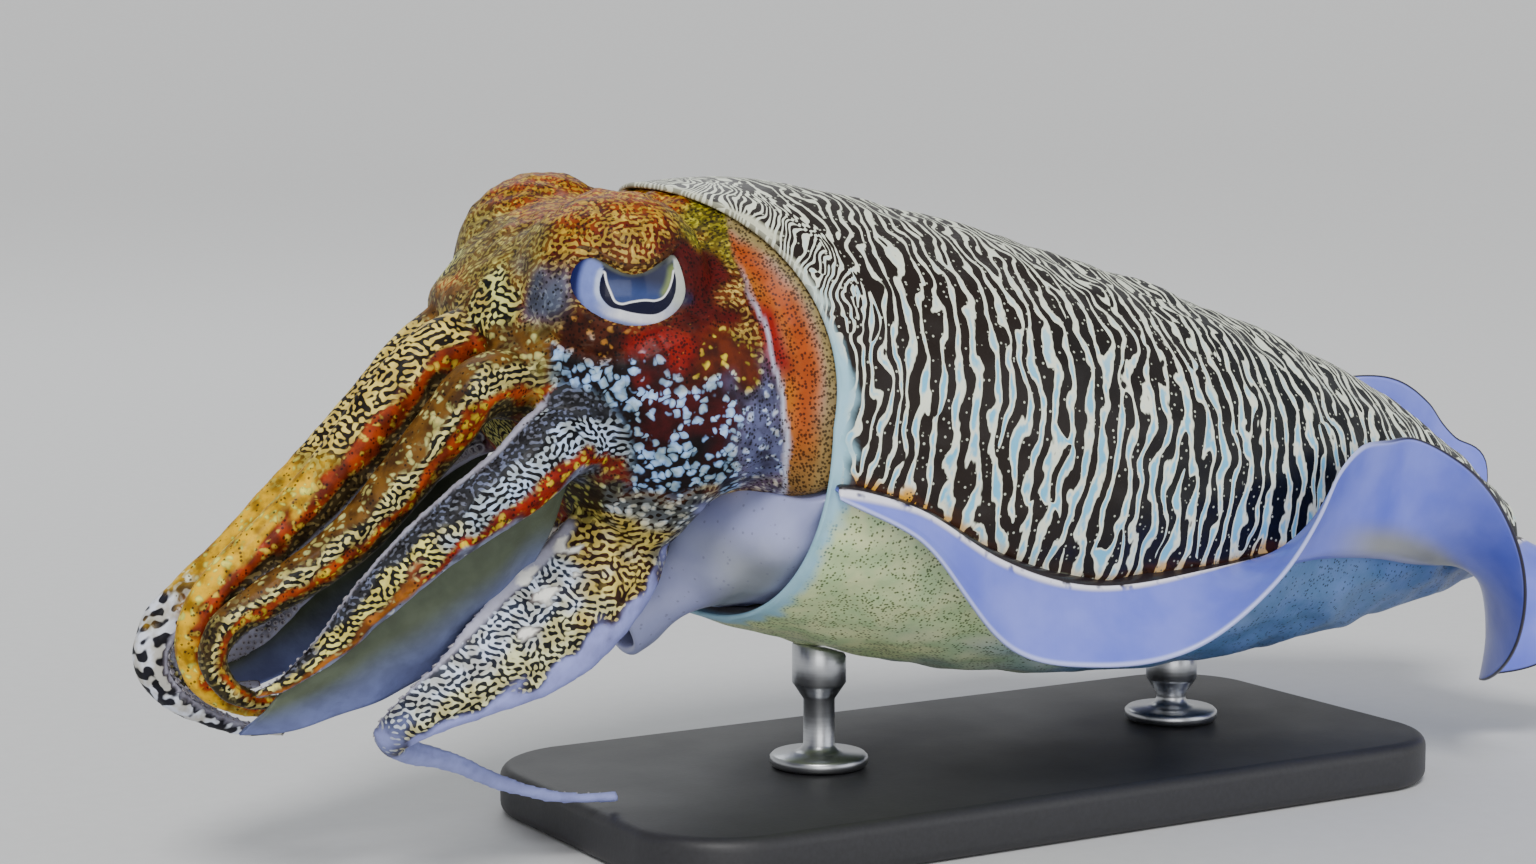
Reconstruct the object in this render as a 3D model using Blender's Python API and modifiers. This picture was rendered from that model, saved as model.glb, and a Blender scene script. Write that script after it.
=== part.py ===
"""A life-size common cuttlefish, swimming, held by a plain display stand.

Units are metres and +Z is up. The animal is modelled in its own frame: +X runs towards the
tail, -Y is its left side, and the origin is on its long axis under the front of the mantle.
The "posture" empty then tips it tail down and lifts it over the stand, whose base is centred
on the world origin with its underside at Z = 0.
"""

import math
from dataclasses import dataclass

import bmesh
import bpy
import numpy as np
from mathutils import Matrix, Vector

# Gap kept between two solids that touch in life
GAP = 0.0003

# Posture and stand
BODY_PITCH = math.radians(11.2)
BODY_X = -0.088
BODY_Z = 0.090
BASE_LENGTH = 0.190
BASE_WIDTH = 0.092
BASE_HEIGHT = 0.010
BASE_EDGE = 0.0025
ROD_RADIUS = 0.0032
ROD_FOOT_RADIUS = 0.010
ROD_FOOT_HEIGHT = 0.0025
ROD_PAD_RADIUS = 0.0055
ROD_PAD_HEIGHT = 0.012
ROD_PLACES = {"stand_rod_front": -0.038, "stand_rod_rear": 0.052}
ROD_SIDES = 20

# Mantle: distance from the front, half width, height above and depth below the long axis
MANTLE_LENGTH = 0.240
MANTLE_STATIONS = (
    (0.000, 0.0360, 0.0395, 0.0340),
    (0.020, 0.0465, 0.0445, 0.0395),
    (0.050, 0.0525, 0.0450, 0.0435),
    (0.085, 0.0545, 0.0430, 0.0450),
    (0.120, 0.0525, 0.0400, 0.0420),
    (0.155, 0.0460, 0.0345, 0.0345),
    (0.185, 0.0370, 0.0275, 0.0250),
    (0.210, 0.0260, 0.0185, 0.0160),
    (0.228, 0.0155, 0.0110, 0.0092),
    (0.2375, 0.0070, 0.0050, 0.0045),
    (0.240, 0.0008, 0.0008, 0.0008),
)
MANTLE_ROUNDNESS = 2.3
RIM_SIDE = 0.025
RIM_DORSAL_LOBE = 0.023
RIM_VENTRAL_NOTCH = 0.005
RIM_LOBE_SHARPNESS = 2.2
MANTLE_WALL = 0.0035
CAVITY_FLOOR = 0.036
MANTLE_COLUMNS = 36
MANTLE_RINGS = 18

# Fins: how far along the mantle, degrees of the base below the side line, width of the fin,
# degrees that it leaves the body at (outwards 0, down negative) and degrees that it curls
FIN_BASE = (
    (0.0270, 15.0),
    (0.0420, 17.0),
    (0.0620, 24.6),
    (0.0840, 28.0),
    (0.1120, 21.6),
    (0.1270, 17.4),
    (0.1410, 13.2),
    (0.1520, 12.0),
    (0.1620, 12.0),
    (0.1770, 14.0),
    (0.1900, 15.0),
    (0.2125, 11.0),
    (0.2365, 5.0),
)
FIN_LEFT_WAVE = (
    (0.0270, 0.0030, -52.0, 0.0),
    (0.0420, 0.0075, -50.0, 0.0),
    (0.0540, 0.0127, -67.0, 5.0),
    (0.0660, 0.0168, -78.0, 10.0),
    (0.0850, 0.0181, -62.0, 8.0),
    (0.1050, 0.0192, -41.0, 5.0),
    (0.1180, 0.0187, -5.0, 5.0),
    (0.1290, 0.0198, 34.0, 0.0),
    (0.1390, 0.0212, 62.0, 0.0),
    (0.1490, 0.0246, 72.0, 5.0),
    (0.1570, 0.0256, 72.0, 8.0),
    (0.1650, 0.0268, 72.0, 8.0),
    (0.1740, 0.0264, 56.0, 8.0),
    (0.1860, 0.0258, 15.0, 0.0),
    (0.1980, 0.0260, -29.0, -15.0),
    (0.2090, 0.0303, -74.0, -25.0),
    (0.2180, 0.0306, -80.0, -25.0),
    (0.2270, 0.0260, -48.0, 0.0),
    (0.2330, 0.0225, -25.0, 0.0),
    (0.2365, 0.0120, -11.0, 0.0),
)
FIN_RIGHT_WAVE = (
    (0.0270, 0.0030, -20.0, 0.0),
    (0.0420, 0.0080, 0.0, 0.0),
    (0.0560, 0.0140, 15.0, -10.0),
    (0.0700, 0.0180, 5.0, -20.0),
    (0.0860, 0.0190, -30.0, -15.0),
    (0.1020, 0.0195, -60.0, 5.0),
    (0.1180, 0.0200, -40.0, 15.0),
    (0.1320, 0.0210, 0.0, 5.0),
    (0.1440, 0.0220, 30.0, -10.0),
    (0.1560, 0.0230, 10.0, -20.0),
    (0.1700, 0.0240, -35.0, -10.0),
    (0.1840, 0.0260, -20.0, 10.0),
    (0.1950, 0.0310, 30.0, 15.0),
    (0.2050, 0.0355, 70.0, 14.0),
    (0.2150, 0.0380, 80.0, 14.0),
    (0.2230, 0.0345, 76.0, 10.0),
    (0.2300, 0.0295, 60.0, 20.0),
    (0.2340, 0.0270, 61.0, 20.0),
    (0.2365, 0.0150, 62.0, 20.0),
)
# Degrees that the fins' rays lean towards the tail
FIN_SWEEP = (
    (0.0270, 0.0),
    (0.1900, 0.0),
    (0.2050, 6.0),
    (0.2200, 18.0),
    (0.2320, 36.0),
    (0.2365, 52.0),
)
FIN_ROOT_DEPTH = 0.003
FIN_ROOT_THICKNESS = 0.0032
FIN_EDGE_THICKNESS = 0.0007
FIN_SHELF = 0.0015
FIN_STATIONS = 42
FIN_STRIPS = 4

# The head is held turned and rolled a little to its own right, about a point between the eyes
HEAD_PIVOT = (-0.008, 0.0, 0.005)
HEAD_YAW = math.radians(-7.0)
HEAD_ROLL = math.radians(5.0)

# Head: sections that turn from the neck towards the arms. Centre X and Z, degrees that the
# section faces down, half width, height above and depth below its centre
HEAD_SECTIONS = (
    (0.0170, 0.0020, 20.0, 0.0400, 0.0340, 0.0178),
    (0.0080, 0.0020, 27.0, 0.0410, 0.0365, 0.0232),
    (0.0005, 0.0000, 33.0, 0.0400, 0.0370, 0.0290),
    (-0.0055, -0.0040, 40.0, 0.0365, 0.0350, 0.0315),
    (-0.0095, -0.0085, 46.0, 0.0325, 0.0330, 0.0325),
)
HEAD_ROUNDNESS = 2.3
HEAD_COLUMNS = 36
HEAD_RINGS = 13
NECK_BACK = (0.0357, 0.0020, 0.0, 0.0400, 0.0340, 0.0110)
NECK_RINGS = 3

# Eyes
EYE_CENTRE = (-0.0085, -0.0201, 0.0200)
EYE_AXIS = (-0.131, -0.975, 0.136)
EYE_RADIUS = 0.0155
EYE_SIDES = 18
EYE_RINGS = 9
EYE_SOCKET_SKIN = 0.0027
EYE_SKIN_BLEND = 0.0030
EYE_OPENING_HALF_WIDTH = 0.0130
EYE_OPENING_HALF_HEIGHT = 0.0085
# Upper lid: degrees round the opening at which it droops or opens up, how far, and how wide
LID_DROOP = (96.0, 0.0058, 31.0)
LID_RISE = (50.0, 0.0030, 19.0)
LID_RADIUS = 0.0015
LID_POINTS = 32
LID_SIDES = 6

# Funnel: centre X and Z, degrees that the section faces down, half width, height and depth
FUNNEL_SECTIONS = (
    (0.0357, -0.0120, 0.0, 0.0390, 0.0010, 0.0235),
    (0.0300, -0.0167, 6.0, 0.0365, 0.0016, 0.0190),
    (0.0240, -0.0248, 18.0, 0.0305, 0.0026, 0.0133),
    (0.0200, -0.0332, 36.0, 0.0190, 0.0050, 0.0097),
    (0.0160, -0.0400, 44.0, 0.0105, 0.0072, 0.0083),
    (0.0120, -0.0440, 40.0, 0.0085, 0.0078, 0.0078),
)
FUNNEL_WALL = 0.0013
FUNNEL_BORE_DEPTH = 0.011
FUNNEL_COLUMNS = 24
FUNNEL_RINGS = 9

# Arms: the crown is the head's front face, and each arm's base is at an angle round it
CROWN = HEAD_SECTIONS[-1]
ARM_RING_HALF_WIDTH = 0.0230
ARM_RING_HALF_HEIGHT = 0.0240
ARM_BASE_ANGLES = {1: 20.0, 2: 55.0, 3: 93.0, 4: 148.0}
ARM_ROOT = 0.006
ARM_RINGS = 18
ARM_CUTS = (0.36, 0.70)
ARM_LENGTH_NAMES = ("base", "middle", "tip")

# Suckers: two staggered rows along each arm's oral side, larger near the arm's middle
SUCKERS_A_ROW = 8
SUCKER_START = 0.16
SUCKER_END = 0.965
SUCKER_SIDES = 6
SUCKER_GIRTH = 0.36
SUCKER_LEAST_RADIUS = 0.0004
SUCKER_HEIGHT = 1.05
SUCKER_SINK = 0.55
SUCKER_CUP = 0.55
SUCKER_VARIATION = 0.10
# Share of the arm's length kept free of suckers on each side of a cut
SUCKER_CLEAR = 0.018


@dataclass(frozen=True)
class ArmShape:
    """Sizes of one kind of arm: its route past the crown, and its girth along that route."""

    route: tuple  # centre line points after the base, of the left arm
    half_depth: tuple  # (share of length, half size from oral to outer side)
    half_width: tuple  # (share of length, half size across)
    shift: tuple = (0.0, 0.0, 0.0)  # how far the right arm lies from the left's mirror


ARMS = {
    1: ArmShape(
        route=(
            (-0.0385, -0.0083, 0.0006),
            (-0.0449, -0.0080, -0.0077),
            (-0.0510, -0.0072, -0.0186),
            (-0.0579, -0.0066, -0.0292),
            (-0.0647, -0.0062, -0.0378),
            (-0.0704, -0.0060, -0.0448),
            (-0.0737, -0.0060, -0.0510),
            (-0.0745, -0.0060, -0.0570),
            (-0.0715, -0.0060, -0.0630),
            (-0.0643, -0.0060, -0.0664),
            (-0.0551, -0.0060, -0.0666),
            (-0.0467, -0.0060, -0.0644),
        ),
        half_depth=(
            (0.0, 0.0070), (0.25, 0.0062), (0.5, 0.0048),
            (0.7, 0.0038), (0.85, 0.0023), (1.0, 0.0007),
        ),
        half_width=(
            (0.0, 0.0063), (0.25, 0.0056), (0.5, 0.0046),
            (0.7, 0.0036), (0.85, 0.0022), (1.0, 0.0007),
        ),
    ),
    2: ArmShape(
        route=(
            (-0.0349, -0.0215, -0.0036),
            (-0.0400, -0.0200, -0.0122),
            (-0.0454, -0.0183, -0.0222),
            (-0.0517, -0.0168, -0.0326),
            (-0.0595, -0.0155, -0.0410),
            (-0.0676, -0.0150, -0.0476),
            (-0.0729, -0.0148, -0.0528),
            (-0.0738, -0.0147, -0.0582),
            (-0.0700, -0.0146, -0.0632),
            (-0.0627, -0.0145, -0.0647),
            (-0.0553, -0.0145, -0.0631),
        ),
        half_depth=(
            (0.0, 0.0072), (0.25, 0.0063), (0.5, 0.0048),
            (0.7, 0.0035), (0.85, 0.0022), (1.0, 0.0007),
        ),
        half_width=(
            (0.0, 0.0062), (0.25, 0.0054), (0.5, 0.0045),
            (0.7, 0.0034), (0.85, 0.0022), (1.0, 0.0007),
        ),
        shift=(0.0034, 0.0008, -0.0024),
    ),
    3: ArmShape(
        route=(
            (-0.0199, -0.0282, -0.0108),
            (-0.0280, -0.0293, -0.0191),
            (-0.0352, -0.0278, -0.0263),
            (-0.0411, -0.0259, -0.0330),
            (-0.0461, -0.0245, -0.0395),
            (-0.0509, -0.0233, -0.0461),
            (-0.0551, -0.0224, -0.0525),
            (-0.0594, -0.0217, -0.0572),
            (-0.0636, -0.0212, -0.0610),
            (-0.0676, -0.0208, -0.0629),
        ),
        half_depth=(
            (0.0, 0.0080), (0.25, 0.0070), (0.5, 0.0054),
            (0.75, 0.0036), (0.9, 0.0018), (1.0, 0.0007),
        ),
        half_width=(
            (0.0, 0.0080), (0.08, 0.0066), (0.25, 0.0058), (0.5, 0.0048),
            (0.75, 0.0032), (0.9, 0.0017), (1.0, 0.0007),
        ),
        shift=(0.0058, 0.0030, -0.0038),
    ),
    4: ArmShape(
        route=(
            (-0.0010, -0.0165, -0.0310),
            (-0.0085, -0.0200, -0.0395),
            (-0.0181, -0.0230, -0.0476),
            (-0.0295, -0.0240, -0.0570),
            (-0.0370, -0.0232, -0.0632),
            (-0.0395, -0.0195, -0.0680),
            (-0.0335, -0.0145, -0.0712),
            (-0.0236, -0.0125, -0.0728),
            (-0.0126, -0.0120, -0.0759),
            (0.0004, -0.0120, -0.0776),
            (0.0128, -0.0120, -0.0766),
        ),
        half_depth=(
            (0.0, 0.0098), (0.15, 0.0115), (0.32, 0.0112),
            (0.46, 0.0062), (0.56, 0.0034), (1.0, 0.0007),
        ),
        half_width=(
            (0.0, 0.0100), (0.07, 0.0074), (0.15, 0.0060), (0.32, 0.0046),
            (0.46, 0.0036), (0.56, 0.0028), (1.0, 0.0007),
        ),
    ),
}
# The right first and fourth arms lie otherwise than the left ones, so they have their own routes
RIGHT_ROUTES = {
    1: (
        (-0.0342, 0.0085, -0.0010),
        (-0.0408, 0.0074, -0.0103),
        (-0.0486, 0.0068, -0.0208),
        (-0.0572, 0.0062, -0.0315),
        (-0.0647, 0.0060, -0.0413),
        (-0.0721, 0.0060, -0.0498),
        (-0.0767, 0.0060, -0.0563),
        (-0.0772, 0.0060, -0.0622),
        (-0.0725, 0.0060, -0.0677),
        (-0.0649, 0.0060, -0.0710),
        (-0.0574, 0.0060, -0.0728),
        (-0.0495, 0.0060, -0.0725),
    ),
    4: (
        (0.0040, 0.0175, -0.0355),
        (-0.0045, 0.0190, -0.0442),
        (-0.0150, 0.0180, -0.0514),
        (-0.0245, 0.0150, -0.0580),
        (-0.0350, 0.0130, -0.0630),
        (-0.0440, 0.0120, -0.0665),
        (-0.0515, 0.0110, -0.0680),
    ),
}

# Colours and finishes seen in life
FINISHES = {
    "mantle_skin": ((0.10, 0.075, 0.050), 0.35),
    "head_skin": ((0.36, 0.17, 0.045), 0.35),
    "arm_skin": ((0.32, 0.22, 0.10), 0.35),
    "fin_membrane": ((0.36, 0.40, 0.72), 0.30),
    "funnel_skin": ((0.45, 0.46, 0.60), 0.30),
    "eye": ((0.30, 0.36, 0.62), 0.08),
    "stand": ((0.03, 0.03, 0.035), 0.45),
    "rod": ((0.55, 0.56, 0.58), 0.30),
}


def clear_scene():
    """Removes every object that the startup scene holds."""
    for obj in list(bpy.data.objects):
        bpy.data.objects.remove(obj)


def new_collection(name):
    """A collection linked to the scene."""
    collection = bpy.data.collections.new(name)
    bpy.context.scene.collection.children.link(collection)
    return collection


def finish(name):
    """The Principled material of that finish, made once."""
    material = bpy.data.materials.get(name)
    if material is None:
        colour, roughness = FINISHES[name]
        material = bpy.data.materials.new(name)
        material.use_nodes = True
        shader = material.node_tree.nodes["Principled BSDF"]
        shader.inputs["Base Color"].default_value = (*colour, 1.0)
        shader.inputs["Roughness"].default_value = roughness
        shader.inputs["Metallic"].default_value = 1.0 if name == "rod" else 0.0
    return material


def through(stations, at, column=1):
    """A smooth curve through one column of a table of stations, read at the places given."""
    table = np.array(stations, float)
    xs, ys = table[:, 0], table[:, column]
    slopes = np.gradient(ys, xs)
    place = np.clip(np.asarray(at, float), xs[0], xs[-1])
    i = np.clip(np.searchsorted(xs, place, side="right") - 1, 0, len(xs) - 2)
    step = xs[i + 1] - xs[i]
    t = (place - xs[i]) / step
    return (
        ys[i] * (2 * t**3 - 3 * t**2 + 1)
        + ys[i + 1] * (3 * t**2 - 2 * t**3)
        + slopes[i] * step * (t**3 - 2 * t**2 + t)
        + slopes[i + 1] * step * (t**3 - t**2)
    )


def route_line(points, count, crowding=1.0):
    """Points along a smooth line through the route's own, closer together near its end."""
    points = np.array(points, float)
    chords = np.linalg.norm(np.diff(points, axis=0), axis=1)
    places = np.concatenate([[0.0], np.cumsum(chords)])
    table = np.column_stack([places, points])
    fine = np.linspace(0.0, places[-1], 400)
    line = np.column_stack([through(table, fine, column) for column in (1, 2, 3)])
    lengths = np.concatenate([[0.0], np.cumsum(np.linalg.norm(np.diff(line, axis=0), axis=1))])
    shares = 1 - (1 - np.linspace(0.0, 1.0, count)) ** crowding
    wanted = shares * lengths[-1]
    return np.column_stack([np.interp(wanted, lengths, line[:, k]) for k in range(3)]), shares


def unit(vectors):
    """Vectors scaled to length one."""
    return vectors / np.linalg.norm(vectors, axis=-1, keepdims=True)


def section_ring(section, columns, roundness, grow=0.0):
    """A ring of points round a superellipse that stands across the head's or funnel's axis."""
    x, z, facing, half_width, height, depth = section
    tilt = math.radians(facing)
    up = np.array([-math.sin(tilt), 0.0, math.cos(tilt)])
    side = np.array([0.0, 1.0, 0.0])
    angle = np.linspace(0.0, 2 * math.pi, columns, endpoint=False)
    c, s = np.cos(angle), np.sin(angle)
    reach = (np.abs(c) ** roundness + np.abs(s) ** roundness) ** (-1 / roundness)
    across = (half_width + grow) * reach * c
    along = (np.where(s > 0, height, depth) + grow) * reach * s
    return np.array([x, 0.0, z]) + across[:, None] * side + along[:, None] * up


def sections_between(sections, count):
    """Sections spaced evenly along a smooth run through the given ones."""
    table = np.column_stack([np.arange(len(sections)), np.array(sections, float)])
    places = np.linspace(0.0, len(sections) - 1, count)
    return np.column_stack([through(table, places, k) for k in range(1, 7)])


def solid_from_rings(name, rings, start_point=None, end_point=None):
    """A closed mesh: quads between one ring of points and the next, and a fan over each end."""
    rings = np.asarray(rings, float)
    count, columns = rings.shape[:2]
    ends = [
        rings[0].mean(axis=0) if start_point is None else start_point,
        rings[-1].mean(axis=0) if end_point is None else end_point,
    ]
    mesh_shape = bmesh.new()
    verts = [[mesh_shape.verts.new(p) for p in ring] for ring in rings]
    caps = [mesh_shape.verts.new(p) for p in ends]
    for i in range(count - 1):
        for j in range(columns):
            k = (j + 1) % columns
            mesh_shape.faces.new((verts[i][j], verts[i][k], verts[i + 1][k], verts[i + 1][j]))
    for j in range(columns):
        k = (j + 1) % columns
        mesh_shape.faces.new((caps[0], verts[0][k], verts[0][j]))
        mesh_shape.faces.new((caps[1], verts[-1][j], verts[-1][k]))
    bmesh.ops.triangulate(mesh_shape, faces=mesh_shape.faces[:])
    bmesh.ops.recalc_face_normals(mesh_shape, faces=mesh_shape.faces[:])
    return mesh_object(name, mesh_shape)


def mesh_object(name, mesh_shape):
    """An unlinked object holding what a bmesh holds."""
    mesh = bpy.data.meshes.new(name)
    mesh_shape.to_mesh(mesh)
    mesh_shape.free()
    mesh.shade_smooth()
    return bpy.data.objects.new(name, mesh)


def place(obj, collection, finish_name, parent=None):
    """Puts a part in its collection, with its finish, under its parent."""
    collection.objects.link(obj)
    obj.data.materials.clear()
    obj.data.materials.append(finish(finish_name))
    obj.parent = parent
    return obj


def as_cutter(obj, collection, parent=None):
    """Makes a helper that cuts others: wire in the viewport and left out of renders."""
    collection.objects.link(obj)
    obj.hide_render = True
    obj.display_type = "WIRE"
    obj.parent = parent
    return obj


def cut(obj, cutter, solver="MANIFOLD"):
    """A Boolean that takes the cutter's shape out of a part."""
    modifier = obj.modifiers.new("cut by " + cutter.name, "BOOLEAN")
    modifier.operation = "DIFFERENCE"
    modifier.solver = solver
    modifier.object = cutter


def mantle_front(angle):
    """How far back the mantle's free edge lies at an angle round it (0 at its right side)."""
    rise = np.sin(angle)
    lobe = RIM_DORSAL_LOBE * np.clip(rise, 0.0, 1.0) ** RIM_LOBE_SHARPNESS
    return RIM_SIDE - lobe + RIM_VENTRAL_NOTCH * np.clip(-rise, 0.0, 1.0)


def mantle_point(x, angle, grow=0.0):
    """A point of the mantle's surface, at a distance from the front and an angle round it."""
    c, s = np.cos(angle), np.sin(angle)
    reach = (np.abs(c) ** MANTLE_ROUNDNESS + np.abs(s) ** MANTLE_ROUNDNESS) ** (-1 / MANTLE_ROUNDNESS)
    half_width = through(MANTLE_STATIONS, x, 1) + grow
    vertical = np.where(s > 0, through(MANTLE_STATIONS, x, 2), through(MANTLE_STATIONS, x, 3)) + grow
    return np.stack([x + 0.0 * angle, half_width * reach * c, vertical * reach * s], axis=-1)


def mantle_rings(grow=0.0):
    """Rings from the free edge to the tail."""
    angle = np.linspace(0.0, 2 * math.pi, MANTLE_COLUMNS, endpoint=False)
    front = mantle_front(angle)
    share = 1 - (1 - np.linspace(0.0, 1.0, MANTLE_RINGS)) ** 1.25
    return [mantle_point(front + (MANTLE_LENGTH - front) * s, angle, grow) for s in share]


def make_mantle():
    """The mantle: an oval sack with a free edge at the front, hollow as far as the neck's root."""
    angle = np.linspace(0.0, 2 * math.pi, MANTLE_COLUMNS, endpoint=False)
    front = mantle_front(angle)
    inside = [
        mantle_point(CAVITY_FLOOR + 0.0 * angle, angle, -MANTLE_WALL),
        mantle_point((front + CAVITY_FLOOR) / 2, angle, -MANTLE_WALL),
        mantle_point(front + MANTLE_WALL * 0.15, angle, -MANTLE_WALL * 0.8),
    ]
    lip = [mantle_point(front - MANTLE_WALL * 0.25, angle, -MANTLE_WALL * 0.4)]
    floor_middle = (CAVITY_FLOOR, 0.0, 0.0)
    tail = (MANTLE_LENGTH + 0.0004, 0.0, 0.0)
    return solid_from_rings("mantle", inside + lip + mantle_rings(), floor_middle, tail)


def make_mantle_clearance(name):
    """The mantle's outside, larger by the gap, which cuts what rests against it."""
    return solid_from_rings(name, mantle_rings(GAP * 1.2))


def make_fin(name, wave, side):
    """A fin: a strip that leaves the mantle at its base line and waves out to a thin edge."""
    first, last = wave[0][0], wave[-1][0]
    along = first + (last - first) * np.linspace(0.0, 1.0, FIN_STATIONS)
    below = np.radians(through(FIN_BASE, along, 1))
    angle = math.pi + below if side < 0 else -below
    root = mantle_point(along, angle)
    across = mantle_point(along, angle + 0.001) - mantle_point(along, angle - 0.001)
    normal = unit(np.column_stack([0 * along, across[:, 2], -across[:, 1]]))
    width = through(wave, along, 1)
    leaves = np.radians(through(wave, along, 2))
    curls = np.radians(through(wave, along, 3))
    sweep = np.radians(through(FIN_SWEEP, along, 1))[:, None]
    backward = np.array([1.0, 0.0, 0.0])
    outward = np.array([0.0, side, 0.0])
    upward = np.array([0.0, 0.0, 1.0])
    shelf = np.minimum(FIN_SHELF, width * 0.2)[:, None]
    point = root + normal * shelf
    columns = [root - normal * FIN_ROOT_DEPTH, root, point]
    for strip in range(FIN_STRIPS):
        turn = leaves + curls * (strip + 0.5) / FIN_STRIPS
        ray = np.cos(turn)[:, None] * outward + np.sin(turn)[:, None] * upward
        ray = ray * np.cos(sweep) + backward * np.sin(sweep)
        point = point + ray * (width[:, None] - shelf) / FIN_STRIPS
        columns.append(point)
    grid = np.stack(columns, axis=1)
    mesh_shape = bmesh.new()
    verts = [[mesh_shape.verts.new(p) for p in row] for row in grid]
    for i in range(len(along) - 1):
        for j in range(grid.shape[1] - 1):
            a, b = verts[i][j], verts[i][j + 1]
            c, d = verts[i + 1][j + 1], verts[i + 1][j]
            for corners in ((a, b, c), (a, c, d)):
                mesh_shape.faces.new(corners if side < 0 else corners[::-1])
    fin = mesh_object(name, mesh_shape)
    thickness = fin.vertex_groups.new(name="thickness")
    strips = grid.shape[1] - 1
    for index in range(len(fin.data.vertices)):
        share = max(0, (index % (strips + 1)) - 2) / (strips - 2)
        thickness.add([index], (1 - share) ** 1.5, "REPLACE")
    shell = fin.modifiers.new("thickness", "SOLIDIFY")
    shell.thickness = FIN_ROOT_THICKNESS
    shell.offset = 0.0
    shell.vertex_group = "thickness"
    shell.thickness_vertex_group = FIN_EDGE_THICKNESS / FIN_ROOT_THICKNESS
    return fin


def head_turn():
    """The rotation of the head about its pivot, as a 4 by 4 matrix."""
    pivot = Matrix.Translation(HEAD_PIVOT)
    return pivot @ Matrix.Rotation(HEAD_YAW, 4, "Z") @ Matrix.Rotation(HEAD_ROLL, 4, "X") @ pivot.inverted()


def moved(points, matrix):
    """Points carried by a 4 by 4 matrix."""
    matrix = np.array(matrix)
    return np.asarray(points, float) @ matrix[:3, :3].T + matrix[:3, 3]


def eye_centre(side):
    """The centre of the left (-1) or right (+1) eyeball."""
    x, y, z = EYE_CENTRE
    return np.array([x, abs(y) * side, z])


def eye_turn(side):
    """A rotation that carries +Z onto the eye's axis, with X along the slit."""
    x, y, z = EYE_AXIS
    axis = Vector((x, abs(y) * side, z)).normalized()
    along = Vector((1.0, 0.0, 0.0))
    across = axis.cross(along).normalized()
    along = across.cross(axis).normalized()
    return Matrix((along, across, axis)).transposed().to_4x4()


def round_the_eyes(points, skin):
    """Pushes head points out to a ball round each eye, softly, so that the eyes bulge."""
    points = np.array(points, float)
    for side in (-1, 1):
        away = points - eye_centre(side)
        distance = np.linalg.norm(away, axis=-1, keepdims=True)
        ball = EYE_RADIUS + skin
        overlap = np.clip((ball - distance) / EYE_SKIN_BLEND, -1.0, 1.0)
        blended = ball + EYE_SKIN_BLEND * (1 - overlap) ** 2 / 4
        reach = np.where(overlap >= 1.0, ball, np.where(overlap <= -1.0, distance, blended))
        points = eye_centre(side) + away / distance * np.maximum(reach, distance)
    return points


def make_head():
    """The head, from the neck cut to the flat crown that carries the arms."""
    sections = sections_between(HEAD_SECTIONS, HEAD_RINGS)
    rings = [section_ring(s, HEAD_COLUMNS, HEAD_ROUNDNESS) for s in sections]
    middle = [round_the_eyes(ring, EYE_SOCKET_SKIN) for ring in rings[1:-1]]
    rings = moved([rings[0], *middle, rings[-1]], head_turn())
    return solid_from_rings("head", rings)


def make_neck():
    """The neck, between the head's back and the floor of the mantle's opening."""
    x, z, facing, half_width, height, depth = HEAD_SECTIONS[0]
    tilt = math.radians(facing)
    front = (x + GAP * math.cos(tilt), z + GAP * math.sin(tilt), facing, half_width, height, depth)
    first = moved(section_ring(front, HEAD_COLUMNS, HEAD_ROUNDNESS), head_turn())
    last = section_ring(NECK_BACK, HEAD_COLUMNS, HEAD_ROUNDNESS)
    shares = np.linspace(0.0, 1.0, NECK_RINGS)
    return solid_from_rings("neck", [first + (last - first) * share for share in shares])


def make_funnel():
    """The funnel: a wide root under the neck that narrows to a round, hollow spout."""
    sections = sections_between(FUNNEL_SECTIONS, FUNNEL_RINGS)
    outside = [section_ring(s, FUNNEL_COLUMNS, 2.0) for s in sections]
    tip = np.array(FUNNEL_SECTIONS[-1], float)
    tilt = math.radians(tip[2])
    back = np.array([math.cos(tilt), 0.0, math.sin(tilt)])
    mouth = section_ring(tip, FUNNEL_COLUMNS, 2.0, -FUNNEL_WALL)
    middle = section_ring(tip, FUNNEL_COLUMNS, 2.0, -FUNNEL_WALL * 1.3) + back * FUNNEL_BORE_DEPTH / 2
    bottom = section_ring(tip, FUNNEL_COLUMNS, 2.0, -FUNNEL_WALL * 2.0) + back * FUNNEL_BORE_DEPTH
    return solid_from_rings("funnel", [*outside, mouth, middle, bottom])


def make_ball(name, radius, side):
    """A UV sphere whose pole points along the eye's axis."""
    mesh_shape = bmesh.new()
    bmesh.ops.create_uvsphere(mesh_shape, u_segments=EYE_SIDES, v_segments=EYE_RINGS, radius=radius)
    turn = head_turn() @ Matrix.Translation(eye_centre(side)) @ eye_turn(side)
    bmesh.ops.transform(mesh_shape, matrix=turn, verts=mesh_shape.verts)
    return mesh_object(name, mesh_shape)


def make_eye_opening(name, side):
    """A plug with the lids' outline, from the eyeball outwards, which opens the lids."""
    t = np.linspace(0.0, 2 * math.pi, LID_POINTS, endpoint=False)
    x, y = lid_outline(t, side)
    turn = head_turn() @ Matrix.Translation(eye_centre(side)) @ eye_turn(side)
    heights = (EYE_RADIUS * 0.3, EYE_RADIUS * 1.8)
    rings = [moved(np.column_stack([x, y, np.full(LID_POINTS, z)]), turn) for z in heights]
    return solid_from_rings(name, rings)


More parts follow.
